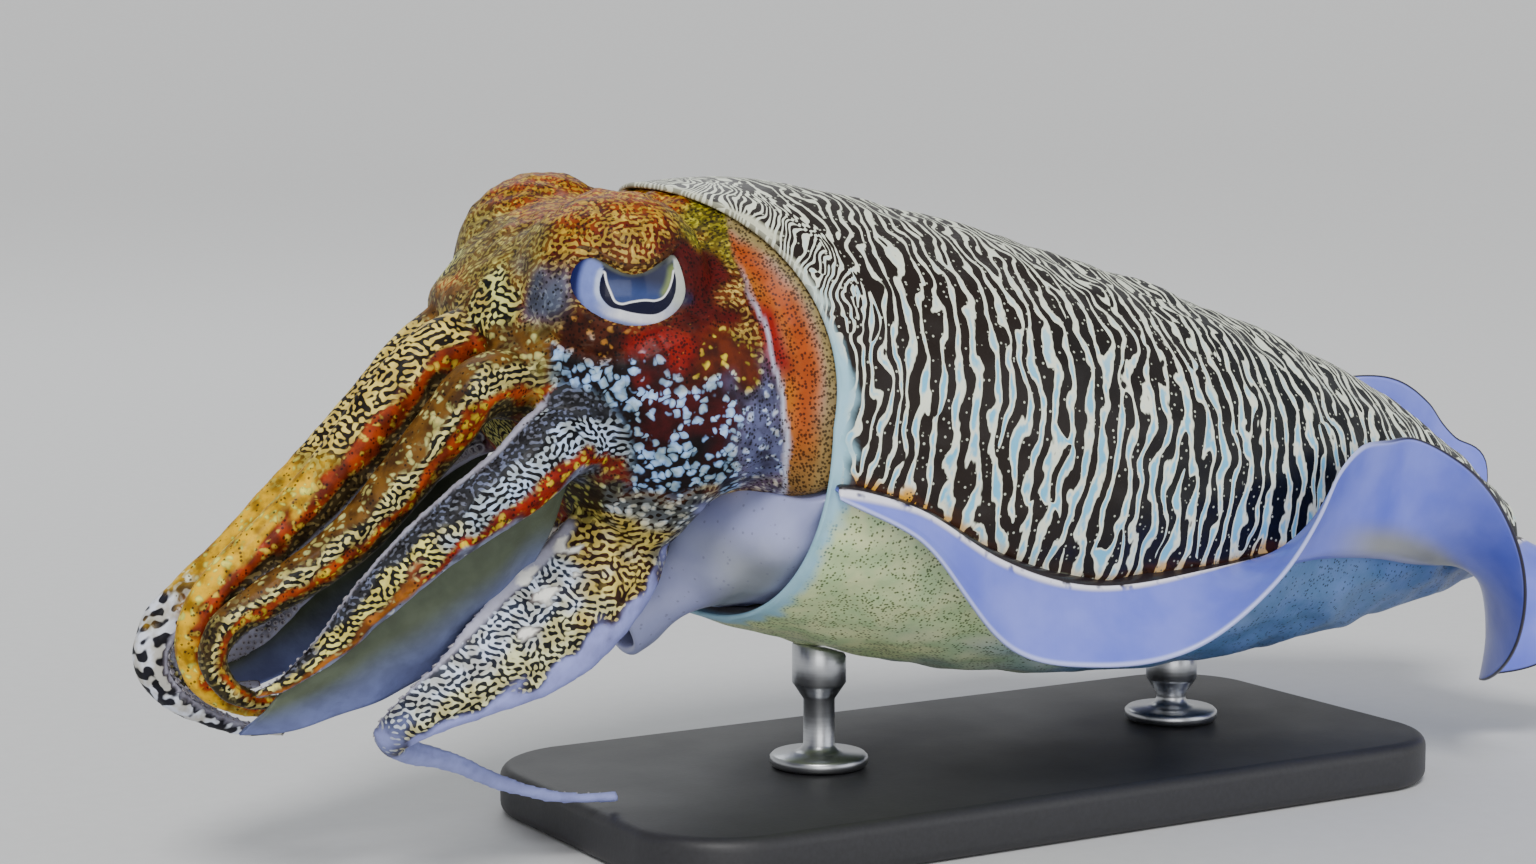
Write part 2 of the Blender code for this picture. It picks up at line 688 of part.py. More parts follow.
def lid_outline(t, side, grow=0.0):
    """The opening's outline: an oval whose upper edge droops in the middle and rises behind."""
    turned = np.degrees(t) % 360.0
    droop = LID_DROOP[1] * np.exp(-(((turned - LID_DROOP[0]) / LID_DROOP[2]) ** 2))
    rise = LID_RISE[1] * np.exp(-(((turned - LID_RISE[0]) / LID_RISE[2]) ** 2))
    x = (EYE_OPENING_HALF_WIDTH + grow) * np.cos(t)
    y = (EYE_OPENING_HALF_HEIGHT + grow) * np.sin(t) - droop + rise
    # The eye's own Y axis points up on the left and down on the right
    return x, -side * y


def make_lid(name, side):
    """The lids: a soft ring round the opening, lying on the ball of the eye."""
    turn = head_turn() @ Matrix.Translation(eye_centre(side)) @ eye_turn(side)
    t = np.linspace(0.0, 2 * math.pi, LID_POINTS, endpoint=False)
    x, y = lid_outline(t, side, LID_RADIUS * 0.75)
    ball = EYE_RADIUS + EYE_SOCKET_SKIN * 0.6
    z = np.sqrt(np.maximum(ball**2 - x**2 - y**2, (0.30 * ball) ** 2))
    line = np.column_stack([x, y, z])
    ahead = unit(np.roll(line, -1, axis=0) - np.roll(line, 1, axis=0))
    out = unit(line - ahead * np.sum(line * ahead, axis=1, keepdims=True))
    cross = np.cross(ahead, out)
    a = np.linspace(0.0, 2 * math.pi, LID_SIDES, endpoint=False)
    tube = (
        line[:, None]
        + LID_RADIUS * (np.cos(a)[None, :, None] * out[:, None] + np.sin(a)[None, :, None] * cross[:, None])
    )
    tube = moved(tube, turn)
    mesh_shape = bmesh.new()
    verts = [[mesh_shape.verts.new(p) for p in ring] for ring in tube]
    for i in range(LID_POINTS):
        for j in range(LID_SIDES):
            n, k = (i + 1) % LID_POINTS, (j + 1) % LID_SIDES
            mesh_shape.faces.new((verts[i][j], verts[n][j], verts[n][k], verts[i][k]))
    bmesh.ops.recalc_face_normals(mesh_shape, faces=mesh_shape.faces[:])
    return mesh_object(name, mesh_shape)


def arm_profile():
    """An arm's cross-section as (outward, across) shares of its half sizes.

    The outer side is a rounded ridge, and the oral side is flat between two raised edges.
    """
    half = ((1.00, 0.0), (0.84, 0.46), (0.45, 0.86), (-0.05, 1.0), (-0.55, 0.92), (-0.92, 0.72))
    oral = (-0.62, 0.0)
    left = [(a, -b) for a, b in half[:0:-1]]
    return np.array([*half, oral, *left])


def arm_base(number, side):
    """Where an arm's centre line leaves the crown, and the direction outwards from the mouth."""
    x, z, facing = CROWN[:3]
    tilt, angle = math.radians(facing), math.radians(ARM_BASE_ANGLES[number])
    up = np.array([-math.sin(tilt), 0.0, math.cos(tilt)])
    across = side * ARM_RING_HALF_WIDTH * math.sin(angle)
    above = ARM_RING_HALF_HEIGHT * math.cos(angle)
    offset = np.array([0.0, across, 0.0]) + above * up
    turn = np.array(head_turn())[:3, :3]
    return moved(np.array([x, 0.0, z]) + offset, head_turn()), turn @ unit(offset)


def arm_route(number, side):
    """The centre line's own points, from a little inside the crown to the tip."""
    base, _ = arm_base(number, side)
    shape = ARMS[number]
    if side < 0:
        points = np.array(shape.route)
    elif number in RIGHT_ROUTES:
        points = np.array(RIGHT_ROUTES[number])
    else:
        points = np.array(shape.route) * np.array([1.0, -1.0, 1.0]) + np.array(shape.shift)
    root = base - unit(points[0] - base) * ARM_ROOT
    return [root, base, *points]


def arm_frames(number, side, count):
    """Centre line, outward and sideways directions, and the share of length at each ring."""
    _, out = arm_base(number, side)
    line, shares = route_line(arm_route(number, side), count, 1.15)
    tangents = unit(np.gradient(line, axis=0))
    outs = []
    for tangent in tangents:
        out = out - tangent * (out @ tangent)
        out = out / np.linalg.norm(out)
        outs.append(out)
    outs = np.array(outs)
    return line, outs, np.cross(tangents, outs), tangents, shares


def make_sucker(name, root, axis, radius, turned):
    """A sucker: a short stalk that widens to a rim round a shallow cup, its root sunk in the arm."""
    angle = np.linspace(0.0, 2 * math.pi, SUCKER_SIDES, endpoint=False) + turned
    first = unit(np.cross(axis, (0.0, 1.0, 0.0)))
    second = np.cross(axis, first)
    spokes = np.cos(angle)[:, None] * first + np.sin(angle)[:, None] * second
    stalk = root - axis * radius * SUCKER_SINK + spokes * radius * 0.62
    rim = root + axis * radius * SUCKER_HEIGHT + spokes * radius
    cup = root + axis * radius * (SUCKER_HEIGHT - SUCKER_CUP)
    return solid_from_rings(name, [stalk, rim], root - axis * radius * SUCKER_SINK, cup)


def sucker_seats(number, side):
    """Place, axis and radius of each sucker along an arm, with the share of its length."""
    shape = ARMS[number]
    line, out, across, _, shares = arm_frames(number, side, 200)
    draw = np.random.default_rng(10 * number + side)
    seats = []
    for k in range(2 * SUCKERS_A_ROW):
        share = SUCKER_START + (SUCKER_END - SUCKER_START) * (k + 0.5) / (2 * SUCKERS_A_ROW)
        row = 1 if k % 2 else -1
        i = int(np.searchsorted(shares, share))
        depth = float(through(shape.half_depth, share))
        width = float(through(shape.half_width, share))
        radius = max(width * SUCKER_GIRTH, SUCKER_LEAST_RADIUS)
        radius = radius * (1 + SUCKER_VARIATION * draw.uniform(-1, 1))
        root = line[i] - out[i] * depth * 0.77 + across[i] * width * 0.36 * row
        axis = unit(-out[i] + across[i] * 0.12 * row)
        seats.append((share, root, axis, radius, draw.uniform(0.0, 1.0)))
    return seats


def largest_shell(obj):
    """Keeps only the largest closed surface of an object's mesh."""
    mesh_shape = bmesh.new()
    mesh_shape.from_mesh(obj.data)
    left = set(mesh_shape.verts)
    shells = []
    while left:
        reach = [left.pop()]
        shell = list(reach)
        while reach:
            for edge in reach.pop().link_edges:
                for vert in edge.verts:
                    if vert in left:
                        left.remove(vert)
                        shell.append(vert)
                        reach.append(vert)
        shells.append(shell)
    shells.sort(key=len)
    for shell in shells[:-1]:
        bmesh.ops.delete(mesh_shape, geom=shell, context="VERTS")
    mesh_shape.to_mesh(obj.data)
    mesh_shape.free()


def join_all(obj, pieces):
    """Fuses pieces into an object by one Boolean union, applied, and removes them."""
    group = bpy.data.collections.new("pieces of " + obj.name)
    bpy.context.scene.collection.children.link(group)
    for piece in pieces:
        group.objects.link(piece)
    bpy.context.scene.collection.objects.link(obj)
    union = obj.modifiers.new("union", "BOOLEAN")
    union.operation = "UNION"
    union.operand_type = "COLLECTION"
    union.solver = "MANIFOLD"
    union.collection = group
    bpy.context.view_layer.update()
    whole = obj.evaluated_get(bpy.context.evaluated_depsgraph_get())
    fused = bpy.data.meshes.new_from_object(whole)
    obj.modifiers.clear()
    obj.data = fused
    bpy.context.scene.collection.objects.unlink(obj)
    for piece in pieces:
        bpy.data.objects.remove(piece)
    bpy.data.collections.remove(group)
    largest_shell(obj)


def make_arm(number, side):
    """An arm in three lengths, with a thin plane gap between one and the next, and suckers."""
    shape = ARMS[number]
    seats = sucker_seats(number, side)
    line, out, across, tangents, shares = arm_frames(number, side, ARM_RINGS)
    depth = through(shape.half_depth, shares)
    width = through(shape.half_width, shares)
    profile = arm_profile()
    rings = (
        line[:, None]
        + (depth[:, None] * profile[None, :, 0])[..., None] * out[:, None]
        + (width[:, None] * profile[None, :, 1])[..., None] * across[:, None]
    )
    cuts = [0, *(int(round(c * (ARM_RINGS - 1))) for c in ARM_CUTS), ARM_RINGS - 1]
    word = "left" if side < 0 else "right"
    lengths = []
    for part, (first, last) in enumerate(zip(cuts, cuts[1:])):
        piece = rings[first : last + 1].copy()
        if part > 0:
            piece[0] = piece[0] + tangents[first] * GAP / 2
        if last < ARM_RINGS - 1:
            piece[-1] = piece[-1] - tangents[last] * GAP / 2
        name = f"arm_{number}_{word}_{ARM_LENGTH_NAMES[part]}"
        length = solid_from_rings(name, piece)
        low = shares[first] + (SUCKER_CLEAR if part > 0 else 0.0)
        high = shares[last] - (SUCKER_CLEAR if last < ARM_RINGS - 1 else 0.0)
        suckers = [
            make_sucker(f"{name}_sucker", root, axis, radius, turned)
            for share, root, axis, radius, turned in seats
            if low <= share <= high
        ]
        join_all(length, suckers)
        lengths.append(length)
    return lengths


def make_crown_clearance():
    """A block that fills the head behind the crown, which trims the arms' roots flat."""
    x, z, facing = CROWN[:3]
    mesh_shape = bmesh.new()
    bmesh.ops.create_cube(mesh_shape, size=0.16)
    back = Matrix.Translation((0.08 - GAP, 0.0, 0.0))
    tilt = Matrix.Translation((x, 0.0, z)) @ Matrix.Rotation(-math.radians(facing), 4, "Y")
    bmesh.ops.transform(mesh_shape, matrix=head_turn() @ tilt @ back, verts=mesh_shape.verts)
    return mesh_object("crown_clearance", mesh_shape)


def make_stand_base():
    """The stand's flat base, a plain block with eased edges."""
    mesh_shape = bmesh.new()
    bmesh.ops.create_cube(mesh_shape, size=1.0)
    size = Matrix.Diagonal((BASE_LENGTH, BASE_WIDTH, BASE_HEIGHT, 1.0))
    lift = Matrix.Translation((0.0, 0.0, BASE_HEIGHT / 2))
    bmesh.ops.transform(mesh_shape, matrix=lift @ size, verts=mesh_shape.verts)
    upright = [e for e in mesh_shape.edges if abs(e.verts[0].co.z - e.verts[1].co.z) > BASE_HEIGHT / 2]
    bmesh.ops.bevel(mesh_shape, geom=upright, offset=0.02, segments=6, profile=0.5, affect="EDGES")
    base = mesh_object("stand_base", mesh_shape)
    base.data.set_sharp_from_angle(angle=math.radians(35))
    ease = base.modifiers.new("eased edges", "BEVEL")
    ease.width = BASE_EDGE
    ease.segments = 2
    ease.limit_method = "ANGLE"
    ease.angle_limit = math.radians(60)
    return base


def make_rod(name, x, top):
    """A rod with a round foot and a pad: a profile turned about its own axis."""
    bottom = BASE_HEIGHT + GAP
    profile = (
        (0.0, top),
        (ROD_PAD_RADIUS, top),
        (ROD_PAD_RADIUS, top - ROD_PAD_HEIGHT),
        (ROD_RADIUS, top - ROD_PAD_HEIGHT - 0.003),
        (ROD_RADIUS, bottom + ROD_FOOT_HEIGHT + 0.002),
        (ROD_RADIUS + 0.002, bottom + ROD_FOOT_HEIGHT),
        (ROD_FOOT_RADIUS, bottom + ROD_FOOT_HEIGHT),
        (ROD_FOOT_RADIUS, bottom),
        (0.0, bottom),
    )
    mesh = bpy.data.meshes.new(name)
    mesh.from_pydata([(r, 0.0, z) for r, z in profile], [(i, i + 1) for i in range(len(profile) - 1)], [])
    rod = bpy.data.objects.new(name, mesh)
    rod.location = (x, 0.0, 0.0)
    turned = rod.modifiers.new("turned", "SCREW")
    turned.steps = turned.render_steps = ROD_SIDES
    turned.use_merge_vertices = True
    turned.merge_threshold = 0.0001
    turned.use_smooth_shade = True
    return rod


def belly_height(x):
    """World height of the belly over a place on the base, in the middle of the animal."""
    along = np.linspace(0.03, 0.22, 400)
    below = mantle_point(along, np.full(400, 1.5 * math.pi))
    world_x = BODY_X + math.cos(BODY_PITCH) * below[:, 0] + math.sin(BODY_PITCH) * below[:, 2]
    world_z = BODY_Z - math.sin(BODY_PITCH) * below[:, 0] + math.cos(BODY_PITCH) * below[:, 2]
    return float(np.interp(x, world_x, world_z))


def build():
    """Makes every part, cuts what meets, and puts all of it in its place."""
    clear_scene()
    parts = new_collection("cuttlefish")
    cutters = new_collection("cutters")
    posture = bpy.data.objects.new("posture", None)
    posture.location = (BODY_X, 0.0, BODY_Z)
    posture.rotation_euler = (0.0, BODY_PITCH, 0.0)
    parts.objects.link(posture)

    clearance = as_cutter(make_mantle_clearance("mantle_clearance"), cutters, posture)
    place(make_mantle(), parts, "mantle_skin", posture)
    for name, wave, side in (("fin_left", FIN_LEFT_WAVE, -1), ("fin_right", FIN_RIGHT_WAVE, 1)):
        fin = place(make_fin(name, wave, side), parts, "fin_membrane", posture)
        cut(fin, clearance)

    head = place(make_head(), parts, "head_skin", posture)
    for word, side in (("left", -1), ("right", 1)):
        lid = as_cutter(make_lid(f"lid_{word}", side), cutters, posture)
        join = head.modifiers.new("lids " + word, "BOOLEAN")
        join.operation = "UNION"
        join.solver = "MANIFOLD"
        join.object = lid
        opening = as_cutter(make_eye_opening(f"opening_{word}", side), cutters, posture)
        socket = as_cutter(make_ball(f"socket_{word}", EYE_RADIUS + GAP, side), cutters, posture)
        cut(head, opening)
        cut(head, socket)
        place(make_ball(f"eye_{word}", EYE_RADIUS, side), parts, "eye", posture)
    place(make_neck(), parts, "head_skin", posture)
    place(make_funnel(), parts, "funnel_skin", posture)
    crown = as_cutter(make_crown_clearance(), cutters, posture)
    for number in ARMS:
        for side in (-1, 1):
            for length in make_arm(number, side):
                place(length, parts, "arm_skin", posture)
                if length.name.endswith("base"):
                    cut(length, crown)

    place(make_stand_base(), parts, "stand")
    for name, x in ROD_PLACES.items():
        rod = place(make_rod(name, x, belly_height(x) + 0.006), parts, "rod")
        cut(rod, clearance)


build()
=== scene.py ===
"""The looks of a life-size common cuttlefish, swimming, held by a plain display stand.

Units are metres and +Z is up; tables say so where they are in millimetres. The animal's own frame
has +X towards the tail and -Y on its left side, with the origin on its long axis under the front
of the mantle. Posture carries that frame into the world. Each sub-assembly has its own class.
"""

import logging
import math
from dataclasses import dataclass
from enum import Enum

import bmesh
import bpy
import numpy as np
from mathutils import Matrix, Vector


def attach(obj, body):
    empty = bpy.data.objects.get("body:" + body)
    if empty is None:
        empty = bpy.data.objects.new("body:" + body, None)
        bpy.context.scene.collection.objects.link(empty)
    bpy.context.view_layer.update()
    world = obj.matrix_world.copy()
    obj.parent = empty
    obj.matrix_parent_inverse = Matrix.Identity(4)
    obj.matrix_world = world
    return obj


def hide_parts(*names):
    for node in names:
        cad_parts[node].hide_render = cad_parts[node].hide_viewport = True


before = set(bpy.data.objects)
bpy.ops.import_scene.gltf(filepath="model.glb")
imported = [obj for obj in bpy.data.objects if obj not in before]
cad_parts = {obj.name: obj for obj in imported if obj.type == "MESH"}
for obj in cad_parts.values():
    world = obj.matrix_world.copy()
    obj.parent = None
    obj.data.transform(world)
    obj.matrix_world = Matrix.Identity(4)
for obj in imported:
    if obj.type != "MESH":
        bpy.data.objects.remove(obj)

LOG = logging.getLogger("cuttlefish")
BODY = "root"
LEFT = -1
RIGHT = 1
SIDE_WORDS = {LEFT: "left", RIGHT: "right"}
NUMBERS = (1, 2, 3, 4)
MM = 1000.0

Array = np.ndarray
Piece = bpy.types.Object
Material = bpy.types.Material
Node = bpy.types.Node
Socket = bpy.types.NodeSocket
Tree = bpy.types.NodeTree


# Curves and arrays


def through(stations: tuple, at: Array, column: int = 1) -> Array:
    """Reads a smooth curve through one column of a table of stations.

    Formula: a cubic through each pair of neighbours, whose slope at a station is the mean slope
    of the table there.

    Args:
        stations: rows of (place, value, ...).
        at: the places to read.
        column: which value of a row.

    Returns:
        The value at each place, held at the first and last station's beyond them.
    """
    table = np.array(stations, float)
    xs, ys = table[:, 0], table[:, column]
    slopes = np.gradient(ys, xs)
    place = np.clip(np.asarray(at, float), xs[0], xs[-1])
    i = np.clip(np.searchsorted(xs, place, side="right") - 1, 0, len(xs) - 2)
    step = xs[i + 1] - xs[i]
    t = (place - xs[i]) / step
    level = ys[i] * (2 * t**3 - 3 * t**2 + 1) + ys[i + 1] * (3 * t**2 - 2 * t**3)
    return level + slopes[i] * step * (t**3 - 2 * t**2 + t) + slopes[i + 1] * step * (t**3 - t**2)


def run_through(rows: tuple, count: int) -> Array:
    """Rows spaced evenly along a smooth run through the given rows of numbers."""
    table = np.column_stack([np.arange(len(rows)), np.array(rows, float)])
    places = np.linspace(0.0, len(rows) - 1, count)
    return np.column_stack([through(table, places, k) for k in range(1, table.shape[1])])


def route_line(points: Array, count: int, crowding: float = 1.0) -> tuple[Array, Array]:
    """Points along a smooth line through a route's own points.

    Formula: the line is read at equal shares of its length, or at 1 - (1 - share) ^ crowding.

    Args:
        points: the route's points.
        count: how many points to return.
        crowding: above 1, the points stand closer together near the end.

    Returns:
        The points and each one's share of the length.
    """
    chords = np.linalg.norm(np.diff(points, axis=0), axis=1)
    places = np.append(0.0, np.cumsum(chords))
    table = np.column_stack([places, points])
    fine = np.linspace(0.0, places[-1], 400)
    line = np.column_stack([through(table, fine, column) for column in (1, 2, 3)])
    lengths = np.append(0.0, np.cumsum(np.linalg.norm(np.diff(line, axis=0), axis=1)))
    shares = 1 - (1 - np.linspace(0.0, 1.0, count)) ** crowding
    wanted = shares * lengths[-1]
    return np.column_stack([np.interp(wanted, lengths, line[:, k]) for k in range(3)]), shares


def unit(vectors: Array) -> Array:
    """Vectors divided by their lengths."""
    return vectors / np.linalg.norm(vectors, axis=-1, keepdims=True)


def turns(count: int) -> Array:
    """Angles spaced evenly once round."""
    return np.linspace(0.0, 2 * math.pi, count, endpoint=False)


def ramp(values: Array, low: float, high: float) -> Array:
    """Rises smoothly from 0 at low to 1 at high: t * t * (3 - 2 t), with t held between 0 and 1."""
    t = np.clip((np.asarray(values, float) - low) / (high - low), 0.0, 1.0)
    return t * t * (3 - 2 * t)


def fall(values: Array, low: float, high: float) -> Array:
    """Falls smoothly from 1 at low to 0 at high: 1 less the ramp."""
    return 1 - ramp(values, low, high)


def between(values: Array, low: float, high: float, soft: float) -> Array:
    """1 between low and high and 0 beyond them, with smooth flanks of the given softness."""
    return ramp(values, low - soft, low + soft) * fall(values, high - soft, high + soft)


def ripples(points: Array, size: float, seed: int) -> Array:
    """Smooth random unevenness of a given size, about -1 to 1.

    Formula: the sum of ten sine waves in random directions, with lengths from 0.7 to 1.6 times
    the size and random phases, divided by the square root of half their number.

    Args:
        points: where to read it, the last axis being X, Y, Z.
        size: the usual length of a wave.
        seed: which unevenness.

    Returns:
        One value a point.
    """
    count = 10
    draw = np.random.default_rng(seed)
    directions = unit(draw.normal(size=(count, 3))) / (size * draw.uniform(0.7, 1.6, (count, 1)))
    phases = draw.uniform(0.0, 2 * math.pi, count)
    waves = np.sin(2 * math.pi * np.asarray(points) @ directions.T + phases)
    return waves.sum(axis=-1) / math.sqrt(count / 2)


def linear(colour: tuple) -> Array:
    """A display colour, 0 to 255, as linear light: the display's own curve undone."""
    c = np.asarray(colour, float) / 255
    return np.where(c <= 0.04045, c / 12.92, ((c + 0.055) / 1.055) ** 2.4)


# Meshes


def grid_quads(rows: int, columns: int) -> Array:
    """Quads between the rings of a grid that is closed round: corners (i, j) and their neighbours."""
    i, j = np.meshgrid(np.arange(rows - 1), np.arange(columns), indexing="ij")
    k = (j + 1) % columns
    corners = (i * columns + j, i * columns + k, (i + 1) * columns + k, (i + 1) * columns + j)
    return np.stack(corners, axis=-1).reshape(-1, 4)


def fan(ring: Array, middle: int) -> Array:
    """Triangles from a ring's edges to one middle vertex."""
    return np.stack((ring, np.roll(ring, -1), np.full(len(ring), middle)), axis=-1)


def closed_faces(rows: int, columns: int) -> list:
    """The faces of a grid closed round, with fans to two end points that follow its own."""
    ring, total = np.arange(columns), rows * columns
    return [grid_quads(rows, columns), fan(ring[::-1], total), fan(ring + total - columns, total + 1)]


def link(name: str, mesh: bpy.types.ID) -> Piece:
    """Puts a mesh, light or camera into the scene."""
    obj = bpy.data.objects.new(name, mesh)
    bpy.context.scene.collection.objects.link(obj)
    return obj


def make_object(name: str, points: Array, faces: list, closed: bool = True) -> Piece:
    """Puts points and faces into a smooth mesh whose faces point outwards.

    Args:
        name: the piece's name.
        points: world places, any shape whose last axis is X, Y, Z.
        faces: arrays of quads or triangles.
        closed: whether the faces' direction is worked out again from the shape.

    Returns:
        The new object, linked to the scene, at the origin.
    """
    mesh = bpy.data.meshes.new(name)
    rows = [row for block in faces for row in np.asarray(block).tolist()]
    mesh.from_pydata(np.asarray(points, float).reshape(-1, 3), [], rows, shade_flat=False)
    if closed:
        shape = bmesh.new()
        shape.from_mesh(mesh)
        bmesh.ops.recalc_face_normals(shape, faces=shape.faces[:])
        shape.to_mesh(mesh)
        shape.free()
    return link(name, mesh)


def loft(name: str, rings: Array, ends: Array | None = None) -> Piece:
    """A closed mesh through rings of points, with a fan over each end.

    Args:
        name: the piece's name.
        rings: an array of rings, each of the same number of points.
        ends: the fans' middles, or nothing for the end rings' own middles.

    Returns:
        The new object.
    """
    if ends is None:
        ends = np.stack([rings[0].mean(axis=0), rings[-1].mean(axis=0)])
    return make_object(name, np.concatenate([rings.reshape(-1, 3), ends]), closed_faces(*rings.shape[:2]))


def sheet_rings(sheet: Array, offset: Array) -> Array:
    """Rings round a sheet of rows: its upper face, and its lower face the other way."""
    return np.concatenate([sheet + offset, (sheet - offset)[:, ::-1]], axis=1)


def both_faces(field: Array) -> Array:
    """Values over a sheet, repeated for its lower face as sheet_rings lays it."""
    return np.concatenate([field, field[:, ::-1]], axis=1)


def spokes_round(angle: Array, first: Array, second: Array) -> Array:
    """Directions round an axis: cosine times the first plus sine times the second."""
    return np.cos(angle)[None, :, None] * first[:, None] + np.sin(angle)[None, :, None] * second[:, None]


def vertices(obj: Piece) -> Array:
    """An object's vertices as an array of X, Y, Z rows."""
    places = np.empty(len(obj.data.vertices) * 3)
    obj.data.vertices.foreach_get("co", places)
    return places.reshape(-1, 3)


def set_vertices(obj: Piece, places: Array) -> None:
    """Moves an object's vertices to new places."""
    obj.data.vertices.foreach_set("co", np.asarray(places, float).ravel())
    obj.data.update()


def push_out(obj: Piece, depth: Array) -> None:
    """Moves each vertex outwards by its own depth."""
    outwards = np.empty(len(obj.data.vertices) * 3, np.float32)
    obj.data.vertex_normals.foreach_get("vector", outwards)
    set_vertices(obj, vertices(obj) + outwards.reshape(-1, 3).astype(float) * depth[:, None])


def store(obj: Piece, name: str, values: Array) -> None:
    """Keeps one value, vector or colour a vertex, for the material to read.

    Args:
        obj: the piece.
        name: the attribute's name; a colour's starts with "colour".
        values: one row a vertex.
    """
    values = np.asarray(values, np.float32)
    kind, key = "FLOAT_VECTOR", "vector"
    if values.ndim == 1:
        kind, key = "FLOAT", "value"
    elif name.startswith("colour"):
        values = np.column_stack([np.clip(values, 0.0, 1.0), np.ones(len(values), np.float32)])
        kind, key = "FLOAT_COLOR", "color"
    obj.data.attributes.new(name, kind, "POINT").data.foreach_set(key, values.ravel())


def store_masks(obj: Piece, masks: dict[str, Array], ends: tuple = (0.0, 0.0)) -> None:
    """Stores one number a vertex under each name, with the given values for the end points."""
    for name, values in masks.items():
        store(obj, name, np.append(np.ravel(values), ends))


def dress(obj: Piece, material: Material, slot: str, *nodes: str) -> None:
    """Gives a piece its material and its body, and reports it.

    Args:
        obj: the piece.
        material: its finish.
        slot: not used.
        nodes: the solids that it replaces.
    """
    obj.data.materials.clear()
    obj.data.materials.append(material)
    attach(obj, BODY)
    if nodes:
        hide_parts(*nodes)
    LOG.info("%s: %d faces", obj.name, len(obj.data.polygons))


# The animal's frame and the sections that its solids share


def moved(points: Array, matrix: Matrix) -> Array:
    """Points carried by a 4 by 4 matrix."""
    m = np.array(matrix)
    return np.asarray(points, float) @ m[:3, :3].T + m[:3, 3]


@dataclass(frozen=True)
class Posture:
    """How the animal's own frame stands in the world: tipped tail down, and lifted."""

    pitch: float = math.radians(11.2)
    x: float = -0.088
    z: float = 0.09

    def world(self, points: Array) -> Array:
        """Turns points about Y by the pitch, then moves them."""
        x, y, z = np.moveaxis(np.asarray(points, float), -1, 0)
        c, s = math.cos(self.pitch), math.sin(self.pitch)
        return np.stack([x * c + z * s + self.x, y, z * c - x * s + self.z], axis=-1)

    def body(self, points: Array) -> Array:
        """The world's points in the animal's frame: world() undone."""
        x, y, z = np.moveaxis(np.asarray(points, float) - np.array([self.x, 0.0, self.z]), -1, 0)
        c, s = math.cos(self.pitch), math.sin(self.pitch)
        return np.stack([x * c - z * s, y, z * c + x * s], axis=-1)


POSTURE = Posture()


def tilted(degrees: float) -> tuple[Array, Array]:
    """Up and back for a section that faces the front and down by the given degrees."""
    c, s = math.cos(math.radians(degrees)), math.sin(math.radians(degrees))
    return np.array([-s, 0.0, c]), np.array([c, 0.0, s])


def superellipse(angle: Array, roundness: float) -> tuple[Array, Array]:
    """Across and up of a unit ring where |across| ^ roundness + |up| ^ roundness = 1."""
    c, s = np.cos(angle), np.sin(angle)
    reach = (np.abs(c) ** roundness + np.abs(s) ** roundness) ** (-1 / roundness)
    return reach * c, reach * s


def section_ring(section: tuple, columns: int, roundness: float, grow: float = 0.0) -> Array:
    """A ring round a superellipse that stands across the head's or funnel's axis.

    Args:
        section: in millimetres, centre X and Z, degrees that it faces down, half width, height
            above the centre and depth below it.
        columns: points round the ring.
        roundness: 2 for an ellipse, more for a squarer ring.
        grow: added to each half size, in metres.

    Returns:
        The ring's points in the animal's frame.
    """
    x, z, facing, half_width, height, depth = section
    angle = turns(columns)
    across, along = superellipse(angle, roundness)
    vertical = np.where(np.sin(angle) > 0, height, depth) / MM + grow
    side = np.array([0.0, 1.0, 0.0])
    up = tilted(facing)[0]
    centre = np.array([x, 0.0, z]) / MM
    return centre + ((half_width / MM + grow) * across)[:, None] * side + (vertical * along)[:, None] * up


@dataclass(frozen=True)
class HeadPose:
    """The head's turn to its own right, its roll, and the place and look of the eyes."""

    pivot: tuple = (-0.008, 0.0, 0.005)
    yaw: float = math.radians(-7.0)
    roll: float = math.radians(5.0)
    eye_centre: tuple = (-0.0085, 0.0201, 0.02)
    eye_axis: tuple = (-0.131, 0.975, 0.136)
    eye_radius: float = 0.0155

    def matrix(self) -> Matrix:
        """The roll about X and then the yaw about Z, both about the pivot."""
        pivot = Matrix.Translation(self.pivot)
        turn = Matrix.Rotation(self.yaw, 4, "Z") @ Matrix.Rotation(self.roll, 4, "X")
        return pivot @ turn @ pivot.inverted()

    def turned(self, direction: Array) -> Array:
        """A direction turned with the head."""
        return np.array(self.matrix())[:3, :3] @ direction

    def centre(self, side: int) -> Array:
        """An eyeball's centre before the head is turned."""
        return np.array(self.eye_centre) * (1, side, 1)

    def eye_frame(self, side: int) -> Array:
        """Columns: towards the tail, up the eye, and out of it, before the head is turned."""
        out = unit(np.array(self.eye_axis) * (1, side, 1))
        up = unit(np.array([0.0, 0.0, 1.0]) - out * out[2])
        along = unit(np.cross(up, out)) * -side
        return np.column_stack([along, up, out])

    def placed(self, local: Array, side: int) -> Array:
        """World places of points given in an eye's own frame."""
        points = self.centre(side) + np.asarray(local) @ self.eye_frame(side).T
        return POSTURE.world(moved(points, self.matrix()))

    def local(self, world: Array, side: int) -> Array:
        """World places in an eye's own frame: placed() undone."""
        points = moved(POSTURE.body(world), self.matrix().inverted())
        return (points - self.centre(side)) @ self.eye_frame(side)


POSE = HeadPose()


# Shader graphs


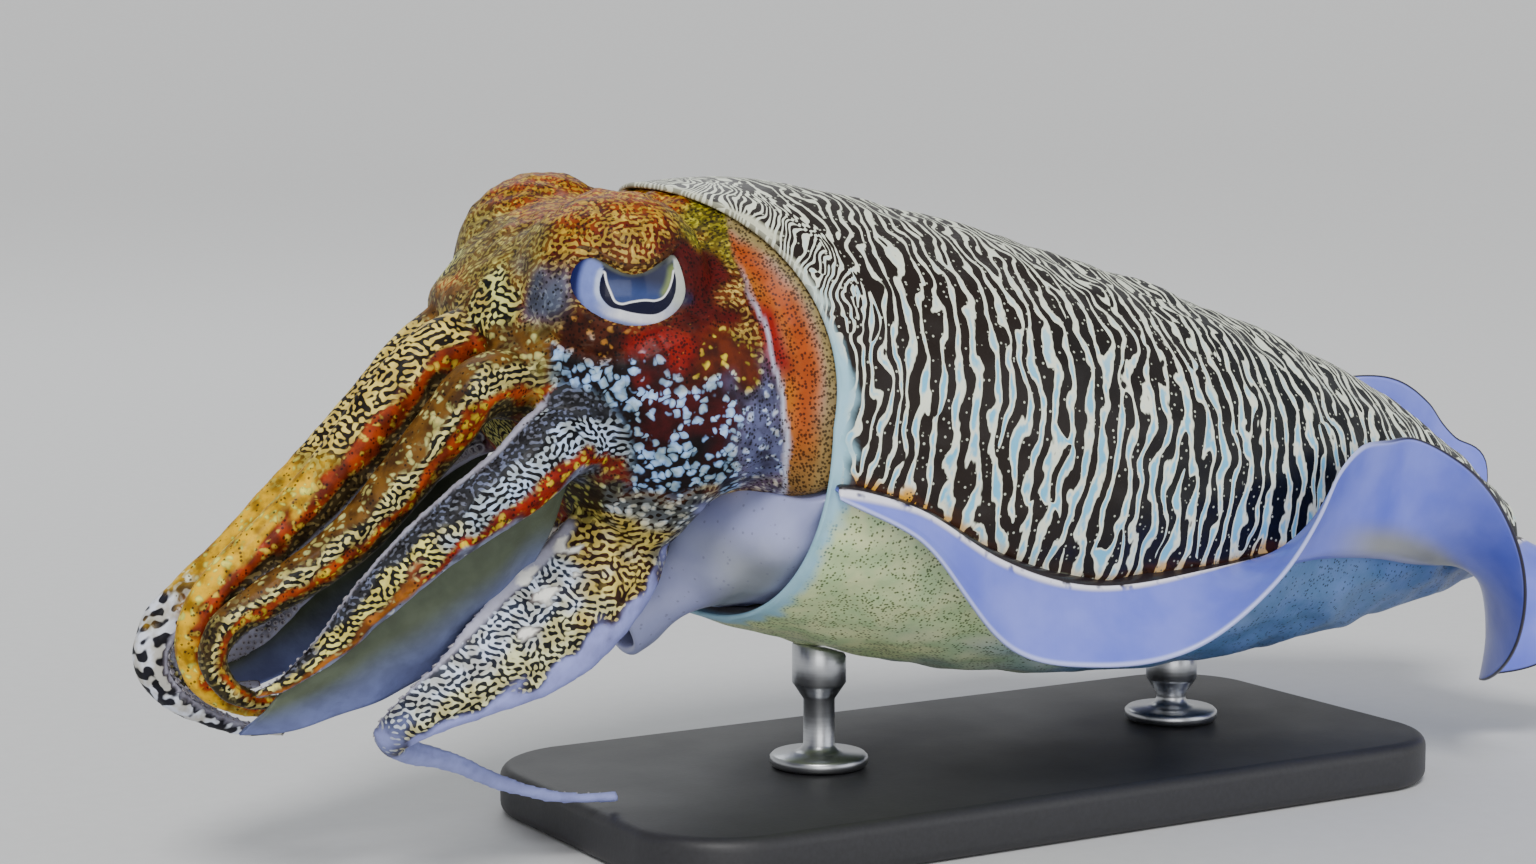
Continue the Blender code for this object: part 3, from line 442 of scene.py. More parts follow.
class Graph:
    """A short way to add nodes to one node tree and to join them."""

    def __init__(self, tree: Tree) -> None:
        """Keeps the tree that the nodes go into."""
        self.tree = tree

    def node(self, kind: str, settings: dict, inputs: dict) -> Node:
        """Adds a node.

        Args:
            kind: its type.
            settings: its own properties.
            inputs: a value or another node's socket for each named or numbered input.

        Returns:
            The node.
        """
        node = self.tree.nodes.new(kind)
        for key, value in settings.items():
            setattr(node, key, value)
        for key, value in inputs.items():
            if isinstance(value, Socket):
                self.tree.links.new(value, node.inputs[key])
            else:
                node.inputs[key].default_value = value
        return node

    def math(self, operation: str, a: object, b: object = 0.0) -> Socket:
        """The result of one sum on two numbers."""
        return self.node("ShaderNodeMath", {"operation": operation}, {0: a, 1: b}).outputs[0]

    def product(self, *factors: object) -> Socket:
        """Numbers multiplied together."""
        result = factors[0]
        for factor in factors[1:]:
            result = self.math("MULTIPLY", result, factor)
        return result

    def less(self, a: object, b: object) -> Socket:
        """The first number less the second."""
        return self.math("SUBTRACT", a, b)

    def rise(self, value: object, low: object, high: object) -> Socket:
        """Rises smoothly from 0 to 1 as the value goes from low to high."""
        inputs = {"Value": value, "From Min": low, "From Max": high}
        return self.node("ShaderNodeMapRange", {"interpolation_type": "SMOOTHSTEP"}, inputs).outputs[0]

    def fall(self, value: object, low: object, high: object) -> Socket:
        """Falls smoothly from 1 to 0 as the value goes from low to high."""
        return self.less(1.0, self.rise(value, low, high))

    def scaled(self, value: object, low: float, high: float) -> Socket:
        """0 to 1 spread evenly between two numbers."""
        return self.node("ShaderNodeMapRange", {}, {"Value": value, "To Min": low, "To Max": high}).outputs[0]

    def mix(self, share: object, a: object, b: object, blend: str = "MIX") -> Socket:
        """A colour between two colours."""
        settings = {"data_type": "RGBA", "blend_type": blend}
        return self.node("ShaderNodeMix", settings, {0: share, 6: rgba(a), 7: rgba(b)}).outputs[2]

    def times(self, colour: object, by: object) -> Socket:
        """A colour multiplied by another."""
        return self.mix(1.0, colour, by, "MULTIPLY")

    def stored(self, name: str, output: str = "Fac") -> Socket:
        """What is stored at the vertices under a name: one number, or a Vector or Color."""
        return self.node("ShaderNodeAttribute", {"attribute_name": name}, {}).outputs[output]

    def place(self) -> Socket:
        """The place on the object."""
        return self.node("ShaderNodeTexCoord", {}, {}).outputs["Object"]

    def noise(self, at: object, scale: object, detail: float, output: str = "Fac",
              dimensions: str = "3D") -> Socket:
        """Soft noise, whose blotches are one over the scale wide."""
        inputs = {"Vector": at, "Scale": scale, "Detail": detail}
        return self.node("ShaderNodeTexNoise", {"noise_dimensions": dimensions}, inputs).outputs[output]

    def cells(self, at: object, size: object, channel: str) -> tuple[Socket, Socket]:
        """Cells of the given size: the distance to each one's middle, and a random number of its own."""
        inputs = {"Vector": at, "Scale": self.math("DIVIDE", 1.0, size)}
        cell = self.node("ShaderNodeTexVoronoi", {"feature": "F1"}, inputs)
        random = self.node("ShaderNodeSeparateColor", {}, {"Color": cell.outputs["Color"]})
        return cell.outputs["Distance"], random.outputs[channel]

    def pushed(self, at: object, by: object, scale: object) -> Socket:
        """A place moved by a vector times a number."""
        push = self.node("ShaderNodeVectorMath", {"operation": "SCALE"}, {0: by, "Scale": scale})
        return self.node("ShaderNodeVectorMath", {"operation": "ADD"}, {0: at, 1: push.outputs[0]}).outputs[0]

    def use(self, group: Tree, at: object, **numbers: object) -> Node:
        """Places a node group; an input is named as its socket is, with _ for a space."""
        inputs = {key.replace("_", " "): value for key, value in numbers.items()}
        return self.node("ShaderNodeGroup", {"node_tree": group}, {"Vector": at, **inputs})


def rgba(colour: object) -> object:
    """A display colour of three numbers as four linear ones; a socket stays as it is."""
    if isinstance(colour, Socket):
        return colour
    return (*linear(colour), 1.0)


def new_group(name: str, numbers: dict, outputs: tuple) -> tuple[Graph, object, Node]:
    """Starts a node group that reads a place and some numbers and puts out numbers.

    Args:
        name: the group's name.
        numbers: the usual value of each named number.
        outputs: the outputs' names.

    Returns:
        The group's graph, its inputs' sockets inside, and its output node.
    """
    tree = bpy.data.node_groups.new(name, "ShaderNodeTree")
    tree.interface.new_socket("Vector", in_out="INPUT", socket_type="NodeSocketVector")
    for key, value in numbers.items():
        tree.interface.new_socket(key, in_out="INPUT", socket_type="NodeSocketFloat").default_value = value
    for key in outputs:
        tree.interface.new_socket(key, in_out="OUTPUT", socket_type="NodeSocketFloat")
    entry = tree.nodes.new("NodeGroupInput")
    return Graph(tree), entry.outputs, tree.nodes.new("NodeGroupOutput")


class SkinGroups:
    """Node groups that several finishes share, each built once."""

    def __init__(self) -> None:
        """Builds every group."""
        self.relief = self.make_relief()
        self.speckle = self.make_speckle()
        self.worms = self.make_worms()
        self.dots = self.make_dots()

    def make_relief(self) -> Tree:
        """Fine skin relief: pores of one size over folds of another, as a height."""
        numbers = {"Pore size": 0.0007, "Fold size": 0.004, "Folds": 0.5}
        g, at, leave = new_group("skin relief", numbers, ("Height",))
        pores = g.noise(at["Vector"], g.math("DIVIDE", 1.0, at["Pore size"]), 1.0)
        folds = g.noise(at["Vector"], g.math("DIVIDE", 1.0, at["Fold size"]), 2.0)
        low = g.product(folds, at["Folds"])
        high = g.product(pores, g.less(1.0, at["Folds"]))
        g.tree.links.new(g.math("ADD", low, high), leave.inputs["Height"])
        return g.tree

    def make_speckle(self) -> Tree:
        """Small round specks, each cell bearing one where its random number is under the share."""
        numbers = {"Size": 0.0008, "Share": 0.5, "Girth": 0.35}
        g, at, leave = new_group("specks", numbers, ("Mask",))
        distance, random = g.cells(at["Vector"], at["Size"], "Red")
        chosen = g.math("LESS_THAN", random, at["Share"])
        speck = g.fall(distance, g.product(at["Girth"], 0.7), g.product(at["Girth"], 1.3))
        g.tree.links.new(g.product(chosen, speck), leave.inputs["Mask"])
        return g.tree

    def make_worms(self) -> Tree:
        """Winding bars: waves of one length in every direction, cut at a level set by the share."""
        numbers = {"Kernel": 0.0035, "Length": 0.0018, "Share": 0.5}
        g, at, leave = new_group("winding bars", numbers, ("Mask",))
        inputs = {"Vector": at["Vector"], "Scale": g.math("DIVIDE", 1.0, at["Kernel"]),
                  "Frequency": g.math("DIVIDE", at["Kernel"], at["Length"]), "Anisotropy": 0.0}
        wave = g.node("ShaderNodeTexGabor", {"gabor_type": "3D"}, inputs).outputs["Value"]
        centre = g.scaled(at["Share"], 0.7, 0.3)
        mask = g.rise(wave, g.less(centre, 0.035), g.math("ADD", centre, 0.035))
        g.tree.links.new(mask, leave.inputs["Mask"])
        return g.tree

    def make_dots(self) -> Tree:
        """Soft blotches: cells filled out to a distance set by the share, palest in the core."""
        numbers = {"Size": 0.0026, "Share": 0.5}
        g, at, leave = new_group("blotches", numbers, ("Mask", "Core"))
        bent = g.noise(at["Vector"], g.math("DIVIDE", 0.9, at["Size"]), 1.0, "Color")
        place = g.pushed(at["Vector"], bent, g.product(at["Size"], 1.2))
        distance, random = g.cells(place, at["Size"], "Green")
        reach = g.product(at["Share"], g.scaled(random, 0.45, 1.05))
        mask = g.fall(distance, g.less(reach, 0.12), g.math("ADD", reach, 0.06))
        g.tree.links.new(mask, leave.inputs["Mask"])
        g.tree.links.new(g.fall(distance, g.product(reach, 0.15), reach), leave.inputs["Core"])
        return g.tree


class SkinGraph(Graph):
    """A material on the Principled shader, with the shared groups to hand."""

    def __init__(self, name: str, groups: SkinGroups | None, roughness: float, coat: float = 0.0,
                 coat_roughness: float = 0.03, specular: float = 0.5, metallic: float = 0.0) -> None:
        """Starts the material with the numbers that are the same all over its surface.

        Args:
            name: the material's name.
            groups: the shared node groups.
            roughness: how dull it is.
            coat: how much clear coat lies over it.
            coat_roughness: how dull the coat is.
            specular: how strongly it reflects.
            metallic: 1 for a metal.
        """
        self.material = bpy.data.materials.new(name)
        self.material.use_nodes = True
        super().__init__(self.material.node_tree)
        self.groups = groups
        self.shader = self.tree.nodes["Principled BSDF"]
        self.shader.inputs["Roughness"].default_value = roughness
        self.shader.inputs["Coat Weight"].default_value = coat
        self.shader.inputs["Coat Roughness"].default_value = coat_roughness
        self.shader.inputs["Specular IOR Level"].default_value = specular
        self.shader.inputs["Metallic"].default_value = metallic

    def specks(self, at: object, size: float, share: object, girth: float) -> Socket:
        """The mask of small round specks."""
        return self.use(self.groups.speckle, at, Size=size, Share=share, Girth=girth).outputs["Mask"]

    def relief(self, at: object, pore: float, fold: float, folds: float) -> Socket:
        """The height of pores over folds of the given sizes."""
        return self.use(self.groups.relief, at, Pore_size=pore, Fold_size=fold, Folds=folds).outputs["Height"]

    def done(self, colour: object, height: object = None, strength: float = 0.3,
             distance: float = 0.0004) -> Material:
        """Joins a colour and a bump height to the shader and returns the material."""
        self.tree.links.new(colour, self.shader.inputs["Base Color"])
        if height is not None:
            inputs = {"Strength": strength, "Distance": distance, "Height": height}
            bump = self.node("ShaderNodeBump", {}, inputs).outputs["Normal"]
            self.tree.links.new(bump, self.shader.inputs["Normal"])
        return self.material


# The mantle


class WaveAxis(Enum):
    """Which way the mantle's wave of bars runs, as degrees from the animal's length."""

    FLANK = -4.0
    TAIL = 62.0


@dataclass(frozen=True)
class MantleFinish:
    """Fine pale bars on a dark ground above the fins, and a pale speckled belly below them."""

    kernel: float = 0.01
    dark_front: tuple = (26, 15, 8)
    dark_rear: tuple = (6, 10, 14)
    bar: tuple = (236, 242, 222)
    core: tuple = (118, 196, 232)
    belly_front: tuple = (226, 234, 178)
    belly_rear: tuple = (98, 130, 186)
    rim: tuple = (176, 218, 240)
    fringe: tuple = (222, 160, 40)

    def make(self, groups: SkinGroups) -> Material:
        """Builds the material from the vertices' masks.

        Formula: the bars are the cosine of a wave's phase plus soft noise, cut at the stored level.

        Args:
            groups: the shared node groups.

        Returns:
            The material.
        """
        g = SkinGraph("mantle skin", groups, 0.45, 0.08, 0.15, 0.25)
        lie, at, cut_at = g.stored("lie", "Vector"), g.place(), g.stored("cut")
        bent = g.pushed(lie, g.noise(lie, 210.0, 1.0, "Color", "2D"), 0.0045)
        inputs = {"Vector": bent, "Scale": 1.0 / self.kernel, "Frequency": g.stored("fine"),
                  "Anisotropy": g.stored("straight"), "Orientation 2D": g.stored("turn")}
        phase = g.node("ShaderNodeTexGabor", {"gabor_type": "2D"}, inputs).outputs["Phase"]
        swing = g.math("COSINE", g.product(phase, 2 * math.pi))
        swell = g.product(g.less(g.noise(lie, 420.0, 2.0, "Fac", "2D"), 0.5), 2.2)
        level = g.math("ADD", swing, swell)
        bars = g.rise(level, g.less(cut_at, 0.14), g.math("ADD", cut_at, 0.14))
        light = g.math("MAXIMUM", bars, g.product(g.specks(at, 0.0011, 0.42, 0.22), 0.65))
        dark = g.mix(g.stored("rearward"), self.dark_front, self.dark_rear)
        core = g.rise(level, g.math("ADD", cut_at, 0.4), g.math("ADD", cut_at, 0.85))
        back = g.mix(light, dark, g.mix(g.product(core, g.stored("flank")), self.bar, self.core))
        grit = g.specks(at, 0.00062, g.stored("grit"), 0.4)
        cloud = g.noise(at, 1 / 0.006, 3.0)
        belly = g.mix(g.stored("under"), self.belly_front, self.belly_rear)
        belly = g.mix(g.rise(cloud, 0.3, 0.7), g.times(belly, (216, 236, 230)), belly)
        belly = g.mix(grit, belly, g.times(belly, (120, 130, 110)))
        fringe = g.mix(grit, g.mix(bars, (60, 28, 8), self.fringe), (36, 14, 6))
        edge = g.mix(cloud, self.rim, g.times(self.rim, (205, 225, 220)))
        colour = g.mix(g.stored("bare"), back, belly)
        colour = g.mix(g.stored("fringe"), colour, fringe)
        colour = g.mix(g.stored("rim"), colour, g.mix(g.stored("rim_top"), edge, (214, 216, 190)))
        colour = g.mix(g.stored("inner"), colour, (120, 116, 112))
        return g.done(colour, g.relief(at, 0.0009, 0.005, 0.55), 0.3, 0.0005)


@dataclass(frozen=True)
class Mantle:
    """The mantle's skin: an oval sack with a free edge at the front, hollow as far as the neck.

    The stations are in metres: place along, half width, height and depth.
    """

    length: float = 0.24
    stations: tuple = (
        (0.0, 0.036, 0.0395, 0.034), (0.02, 0.0465, 0.0445, 0.0395),
        (0.05, 0.0525, 0.045, 0.0435), (0.085, 0.0545, 0.043, 0.045),
        (0.12, 0.0525, 0.04, 0.042), (0.155, 0.046, 0.0345, 0.0345),
        (0.185, 0.037, 0.0275, 0.025), (0.21, 0.026, 0.0185, 0.016),
        (0.228, 0.0155, 0.011, 0.0092), (0.2375, 0.007, 0.005, 0.0045),
        (0.24, 0.0008, 0.0008, 0.0008),
    )
    roundness: float = 2.3
    rim_side: float = 0.025
    lobe: float = 0.023
    lobe_sharpness: float = 2.2
    notch: float = 0.005
    wall: float = 0.0035
    lip: float = 0.0011
    gap: float = 0.0004
    swelling: float = 0.011
    squeeze: float = 0.5
    floor: float = 0.036
    rows: int = 236
    columns: int = 336
    lip_rows: int = 9
    inner_rows: int = 14
    crowding: float = 1.2
    unevenness: float = 0.00025

    def front(self, angle: Array) -> Array:
        """How far back the free edge lies: the side's place, less a power of the sine above it."""
        rise = np.sin(angle)
        lobe = self.lobe * np.clip(rise, 0.0, 1.0) ** self.lobe_sharpness
        return self.rim_side - lobe + self.notch * np.clip(-rise, 0.0, 1.0)

    def halves(self, x: Array, up: Array, grow: float | Array) -> tuple[Array, Array]:
        """Half width, and height where up is above 0 or else depth, at x, both grown alike."""
        vertical = np.where(up > 0, through(self.stations, x, 2), through(self.stations, x, 3))
        return through(self.stations, x, 1) + grow, vertical + grow

    def point(self, x: Array, angle: Array, grow: float | Array = 0.0) -> Array:
        """A point of the surface.

        Formula: a superellipse across the animal, whose half width, height and depth are read
        from the stations at x.

        Args:
            x: distance from the front.
            angle: place round the animal, 0 at its right side and a quarter turn on top.
            grow: added to each half size.

        Returns:
            The point in the animal's frame.
        """
        across, up = superellipse(angle, self.roundness)
        half_width, vertical = self.halves(x, np.sin(angle), grow)
        return np.stack([x + 0.0 * angle, half_width * across, vertical * up], axis=-1)

    def fill(self, points: Array, least: float = 0.5) -> Array:
        """Swells a form inside the free edge until it nearly touches the mantle's inner side.

        Formula: a point's share of the way out to the superellipse a gap inside the wall is
        raised to 1, by a weight that grows as the point nears the free edge from the front.

        Args:
            points: places in the animal's frame.
            least: the share of the way out from which points are moved.

        Returns:
            The swollen places.
        """
        x, y, z = np.moveaxis(points, -1, 0)
        inset = self.lip + self.gap + (self.wall - self.lip) * ramp(x, 0.02, self.floor)
        half_width, vertical = self.halves(x, z, -inset)
        across, up = y / half_width, z / vertical
        out = (np.abs(across) ** self.roundness + np.abs(up) ** self.roundness) ** (1 / self.roundness)
        weight = ramp(x - self.front(np.arctan2(up, across)), -self.swelling, 0.0005)
        scale = 1 + weight * ramp(out, least, least + 0.28) * (1 / np.maximum(out, 0.3) - 1)
        return np.stack([x, y * scale, z * scale], axis=-1)

    def build(self, fins: "Fins") -> Piece:
        """Makes the outer skin, the rounded lip, the inner wall and the floor, as one surface.

        Args:
            fins: the fins, whose base lines part the barred back from the belly.

        Returns:
            The mantle's piece, with its masks.
        """
        angle = turns(self.columns)
        front = self.front(angle)
        turn = np.linspace(0.0, math.pi, self.lip_rows + 2)[1:-1, None]
        deep = np.linspace(0.0, 1.0, self.inner_rows)[:, None]
        share = (1 - (1 - np.linspace(0.0, 1.0, self.rows)) ** self.crowding)[:, None]
        wall = self.lip + (self.wall - self.lip) * ramp(deep, 0.0, 0.7)
        inner, lip, outer = (self.point(x, np.broadcast_to(angle, x.shape), grow) for x, grow in (
            (front + (self.floor - front) * deep, -wall),
            (front - 0.5 * self.lip * np.sin(turn), -self.lip / 2 * (1 - np.cos(turn))),
            (front + (self.length - front) * share, 0.0),
        ))
        rings = np.concatenate([inner[::-1], lip[::-1], outer])
        ends = np.array([[self.floor, 0.0, 0.0], [self.length + 0.0004, 0.0, 0.0]])
        obj = loft("mantle_skin", POSTURE.world(rings), POSTURE.world(ends))
        points = np.concatenate([rings.reshape(-1, 3), ends])
        uneven = ripples(points, 0.016, 3) + 0.6 * ripples(points, 0.007, 4)
        outside = np.zeros(len(points))
        outside[-2 - self.rows * self.columns : -2] = self.unevenness
        push_out(obj, outside * uneven * ramp(points[:, 0], 0.0, 0.05))
        self.paint(obj, rings, fins)
        return obj

    def around(self, rings: Array) -> Array:
        """The way along each ring from the middle of the back, negative on one side."""
        top = rings.shape[1] // 4
        steps = np.roll(np.linalg.norm(np.roll(rings, -1, axis=1) - rings, axis=2), -top, axis=1)
        way = np.concatenate([np.zeros((len(rings), 1)), np.cumsum(steps, axis=1)[:, :-1]], axis=1)
        half = steps.sum(axis=1, keepdims=True) / 2
        return np.roll(np.where(way > half, way - 2 * half, way), top, axis=1)

    def paint(self, obj: Piece, rings: Array, fins: "Fins") -> None:
        """Stores the masks that the finish reads.

        Formula: each mask is made of ramps over the distance behind the free edge, the height
        above the fin's base line, and the place along the animal and up its side.

        Args:
            obj: the mantle's piece.
            rings: its points in the animal's frame, ring by ring, without the two end points.
            fins: the fins, for their base lines.
        """
        x = rings[..., 0]
        angle = turns(self.columns)
        wide = np.broadcast_to(angle, x.shape)
        radius = np.linalg.norm(rings[..., 1:], axis=-1)
        rim = x - self.front(angle)
        base = np.radians(through(fins.base, x * MM))
        below_side = np.where(np.cos(wide) < 0, wide - math.pi, -wide)
        below_side = (below_side + math.pi) % (2 * math.pi) - math.pi
        below_side = np.where(np.sin(wide) > 0, -np.abs(below_side), np.abs(below_side))
        above_fin = (base - below_side) * radius
        outside = np.zeros(x.shape)
        outside[-self.rows :] = 1.0
        upper = np.clip(np.sin(wide), 0.0, 1.0)
        tail = ramp(x, 0.18, 0.212)
        top = ramp(upper, 0.5, 0.95)
        near_rim = fall(rim, 0.007, 0.012)
        dorsal = ramp(upper, 0.25, 0.7)
        on_rim = near_rim * dorsal
        slope = np.gradient(self.front(angle), angle) / np.maximum(radius, 1e-4)
        flank_turn = math.radians(WaveAxis.FLANK.value) + 0.22 * ripples(rings, 0.03, 11)
        turn = flank_turn + np.where(np.cos(wide) < 0, 1.0, -1.0) * math.radians(WaveAxis.TAIL.value) * tail
        fine = 2.6 + 1.8 * ramp(upper, 0.45, 0.95) + 1.5 * tail
        fine = fine * (1 - on_rim) + 10.5 * on_rim + 2.2 * fall(rim, 0.006, 0.02) * (1 - dorsal)
        flank = ramp(1 - upper, 0.1, 0.75) * ramp(above_fin, -0.002, 0.006)
        cut_at = 0.58 - 0.36 * flank * between(x, 0.035, 0.2, 0.02) - 0.4 * on_rim
        lower = 0.0011 * fall(upper, 0.05, 0.45)
        bare = fall(above_fin + 0.0008 * ripples(rings, 0.006, 5), -0.0015, 0.001)
        fringe = between(above_fin + 0.0007 * ripples(rings, 0.004, 9), 0.0004, 0.0034, 0.001) * outside
        fringe = fringe * np.clip(1.1 - ramp(x, 0.04, 0.075) + 0.7 * between(x, 0.085, 0.14, 0.015), 0.0, 1.0)
        grit = bare * (0.62 - 0.3 * ramp(x, 0.07, 0.14)) * (0.75 + 0.25 * ripples(rings, 0.01, 8))
        edge = fall(rim + 0.0006 * ripples(rings, 0.005, 10), lower, 0.0009 + 2.7 * lower)
        lip = 1 - 0.55 * dorsal * fall(rim, -0.0002, 0.001)
        store_masks(obj, {
            "turn": turn * (1 - on_rim) + np.arctan2(self.squeeze, slope) * on_rim,
            "fine": fine,
            "flank": flank,
            "cut": cut_at - 0.2 * top * (1 - near_rim),
            "straight": 0.93 - 0.22 * top * (1 - near_rim),
            "rearward": ramp(x + 0.01 * ripples(rings, 0.03, 6), 0.05, 0.13),
            "bare": bare * outside,
            "under": ramp(x + 0.008 * ripples(rings, 0.02, 7), 0.05, 0.135),
            "grit": np.maximum(grit, 0.55 * fringe),
            "fringe": fringe,
            "rim": outside * edge + (1 - outside) * lip,
            "rim_top": dorsal,
            "inner": (1 - outside) * ramp(rim, 0.0002, 0.002),
        })
        lie = np.stack([x, self.around(rings) * self.squeeze, 0 * x], axis=-1).reshape(-1, 3)
        store(obj, "lie", np.concatenate([lie, [[0.0, 0.0, 0.0], [self.length, 0.0, 0.0]]]))


# The fins


@dataclass(frozen=True)
class FinFinish:
    """A lilac membrane: a pale broken line along its root, and a thin darker or paler margin."""

    body: tuple = (122, 134, 232)
    deep: tuple = (96, 110, 220)
    line: tuple = (240, 238, 252)
    dark: tuple = (34, 26, 30)
    margin: tuple = (196, 204, 255)
    # Olive under the rear root: partly the root's own tone, partly painted shade.
    olive_and_shade: tuple = (150, 150, 96)
    ray: float = 0.0016

    def make(self, groups: SkinGroups) -> Material:
        """Builds the material from the distance to the root, the margin and the place along.

        Args:
            groups: the shared node groups.

        Returns:
            The material.
        """
        g = SkinGraph("fin membrane", groups, 0.34, 0.2, 0.12, 0.4)
        at, root, rim = g.place(), g.stored("root"), g.stored("rim")
        rear, over = g.stored("rear"), g.stored("over")
        body = g.mix(g.rise(g.noise(at, 1 / 0.012, 4.0), 0.25, 0.75), self.deep, self.body)
        # Olive on the underside near the rear root: partly own tone, partly painted shade under the fin.
        body = g.mix(g.stored("olive_and_shade"), body, self.olive_and_shade)
        body = g.mix(g.product(g.fall(root, 0.001, 0.0032), over), body, self.dark)
        broken = g.rise(g.noise(at, 1 / 0.003, 2.0), 0.3, 0.46)
        pale = g.product(g.rise(root, 0.0008, 0.0012), g.fall(root, 0.0018, 0.003), broken, over)
        body = g.mix(pale, body, self.line)
        body = g.mix(g.product(g.fall(rim, 0.0003, 0.0013), g.scaled(rear, 0.75, 0.1)), body, self.margin)
        body = g.mix(g.product(g.fall(rim, 0.00025, 0.0006), rear), body, (28, 24, 50))
        rays = g.math("ABSOLUTE", g.math("SINE", g.product(g.stored("along"), 2 * math.pi / self.ray)))
        return g.done(body, g.product(rays, 0.4), 0.05, 0.0003)


@dataclass(frozen=True)
class Fins:
    """The two fins: strips that leave the mantle at its base line and wave out to a thin edge.

    Tables start with the place along in millimetres. The base line and the sweep then have
    degrees, and a wave its width in millimetres, the angle that it leaves at and its curl.
    """

    base: tuple = (
        (27, 15), (42, 17), (62, 24.6), (84, 28), (112, 21.6), (127, 17.4), (141, 13.2),
        (152, 12), (162, 12), (177, 14), (190, 15), (212.5, 11), (236.5, 5),
    )
    left_wave: tuple = (
        (27, 3, -52, 0), (42, 7.5, -50, 0), (54, 12.7, -67, 5), (66, 16.8, -78, 10),
        (85, 18.1, -62, 8), (105, 19.2, -41, 5), (118, 18.7, -5, 5), (129, 19.8, 34, 0),
        (139, 21.2, 62, 0), (149, 24.6, 72, 5), (157, 25.6, 72, 8), (165, 26.8, 72, 8),
        (174, 26.4, 56, 8), (186, 25.8, 15, 0), (198, 26, -29, -15), (209, 30.3, -74, -25),
        (218, 30.6, -80, -25), (227, 26, -48, 0), (233, 22.5, -25, 0), (236.5, 12, -11, 0),
    )
    right_wave: tuple = (
        (27, 3, -20, 0), (42, 8, 0, 0), (56, 14, 15, -10), (70, 18, 5, -20), (86, 19, -30, -15),
        (102, 19.5, -60, 5), (118, 20, -40, 15), (132, 21, 0, 5), (144, 22, 30, -10),
        (156, 23, 10, -20), (170, 24, -35, -10), (184, 26, -20, 10), (195, 31, 30, 15),
        (205, 35.5, 70, 14), (215, 38, 80, 14), (223, 34.5, 76, 10), (230, 29.5, 60, 20),
        (234, 27, 61, 20), (236.5, 15, 62, 20),
    )
    sweep: tuple = ((27, 0), (190, 0), (205, 6), (220, 18), (232, 36), (236.5, 52))
    root_depth: float = 0.0022
    root_thickness: float = 0.003
    edge_thickness: float = 0.0006
    shelf: float = 0.0015
    rows: int = 420
    strips: int = 30

    def build(self, mantle: Mantle, side: int) -> Piece:
        """Makes one fin.

        Formula: from the base line a ray of the wave's width runs out at the wave's angle, which
        the curl turns on the way; the two faces stand off it by half a thickness that falls as
        (1 - share) ^ 1.5 from root to edge.

        Args:
            mantle: the mantle that the fin leaves.
            side: left or right.

        Returns:
            The fin's piece, with its masks.
        """
        wave = self.left_wave if side < 0 else self.right_wave
        first, last = wave[0][0] / MM, wave[-1][0] / MM
        along = np.linspace(first, last, self.rows)
        below = np.radians(through(self.base, along * MM))
        angle = math.pi + below if side < 0 else -below
        root = mantle.point(along, angle)
        tangent = mantle.point(along, angle + 0.001) - mantle.point(along, angle - 0.001)
        normal = unit(np.column_stack([0 * along, tangent[:, 2], -tangent[:, 1]]))
        width = through(wave, along * MM, 1) / MM
        leaves, curls = (np.radians(through(wave, along * MM, k))[:, None] for k in (2, 3))
        sweep = np.radians(through(self.sweep, along * MM))[:, None]
        shelf = np.minimum(self.shelf, width * 0.2)
        shares = np.linspace(0.0, 1.0, self.strips + 1)
        turn = leaves + curls * (shares[1:] + shares[:-1]) / 2
        ray = np.stack([np.sin(sweep) + 0 * turn, np.cos(turn) * np.cos(sweep) * side,
                        np.sin(turn) * np.cos(sweep)], axis=-1)
        run = np.cumsum(ray * (width - shelf)[:, None, None] / self.strips, axis=1)
        run = np.concatenate([np.zeros((self.rows, 1, 3)), run], axis=1)
        run = (root + normal * shelf[:, None])[:, None] + run
        sheet = np.concatenate([(root - normal * self.root_depth)[:, None], root[:, None], run], axis=1)
        up = unit(np.cross(np.gradient(sheet, axis=0), np.gradient(sheet, axis=1)))
        from_root = np.append([0.0, 0.0], shares)
        thick = np.maximum(self.root_thickness * (1 - from_root) ** 1.5, self.edge_thickness)
        taper = np.sqrt(np.clip(np.minimum(along - first, last - along) / 0.004, 0.0, 1.0))[:, None]
        offset = up * (thick * (0.25 + 0.75 * taper) / 2)[..., None]
        obj = loft(f"fin_membrane_{SIDE_WORDS[side]}", POSTURE.world(sheet_rings(sheet, offset)))
        distance = np.append([-self.root_depth, 0.0], shares)
        free = shelf[:, None] + distance * (width - shelf)[:, None]
        from_base = both_faces(np.where(distance > 0, free, distance))
        from_edge = (1 - np.clip(distance, 0.0, 1.0)) * width[:, None]
        upper = float(offset[..., 2].mean() > 0)
        over = np.concatenate([np.full(sheet.shape[:2], upper), np.full(sheet.shape[:2], 1 - upper)], axis=1)
        place = both_faces(np.broadcast_to(along[:, None], sheet.shape[:2]))
        # Where the olive lies, on the underside near the rear root: partly own tone, partly painted shade.
        olive_and_shade = between(from_base, 0.0, 0.007, 0.003) * between(place, 0.15, 0.205, 0.012) * (1 - over)
        store_masks(obj, {"root": from_base, "rim": both_faces(from_edge), "along": place,
                          "rear": ramp(place, 0.145, 0.165), "over": over, "olive_and_shade": 0.75 * olive_and_shade})
        return obj


# The arms' shapes


@dataclass(frozen=True)
class ArmShape:
    """One kind of arm: its route past the crown, and its girth along that route, in millimetres."""

    route: tuple
    half_depth: tuple
    half_width: tuple
    shift: tuple = (0.0, 0.0, 0.0)

    def depth(self, share: Array, least: float = 0.0) -> Array:
        """Half the depth at a share of the length, in metres."""
        return np.maximum(through(self.half_depth, share) / MM, least)

    def width(self, share: Array, least: float = 0.0) -> Array:
        """Half the width at a share of the length, in metres."""
        return np.maximum(through(self.half_width, share) / MM, least)


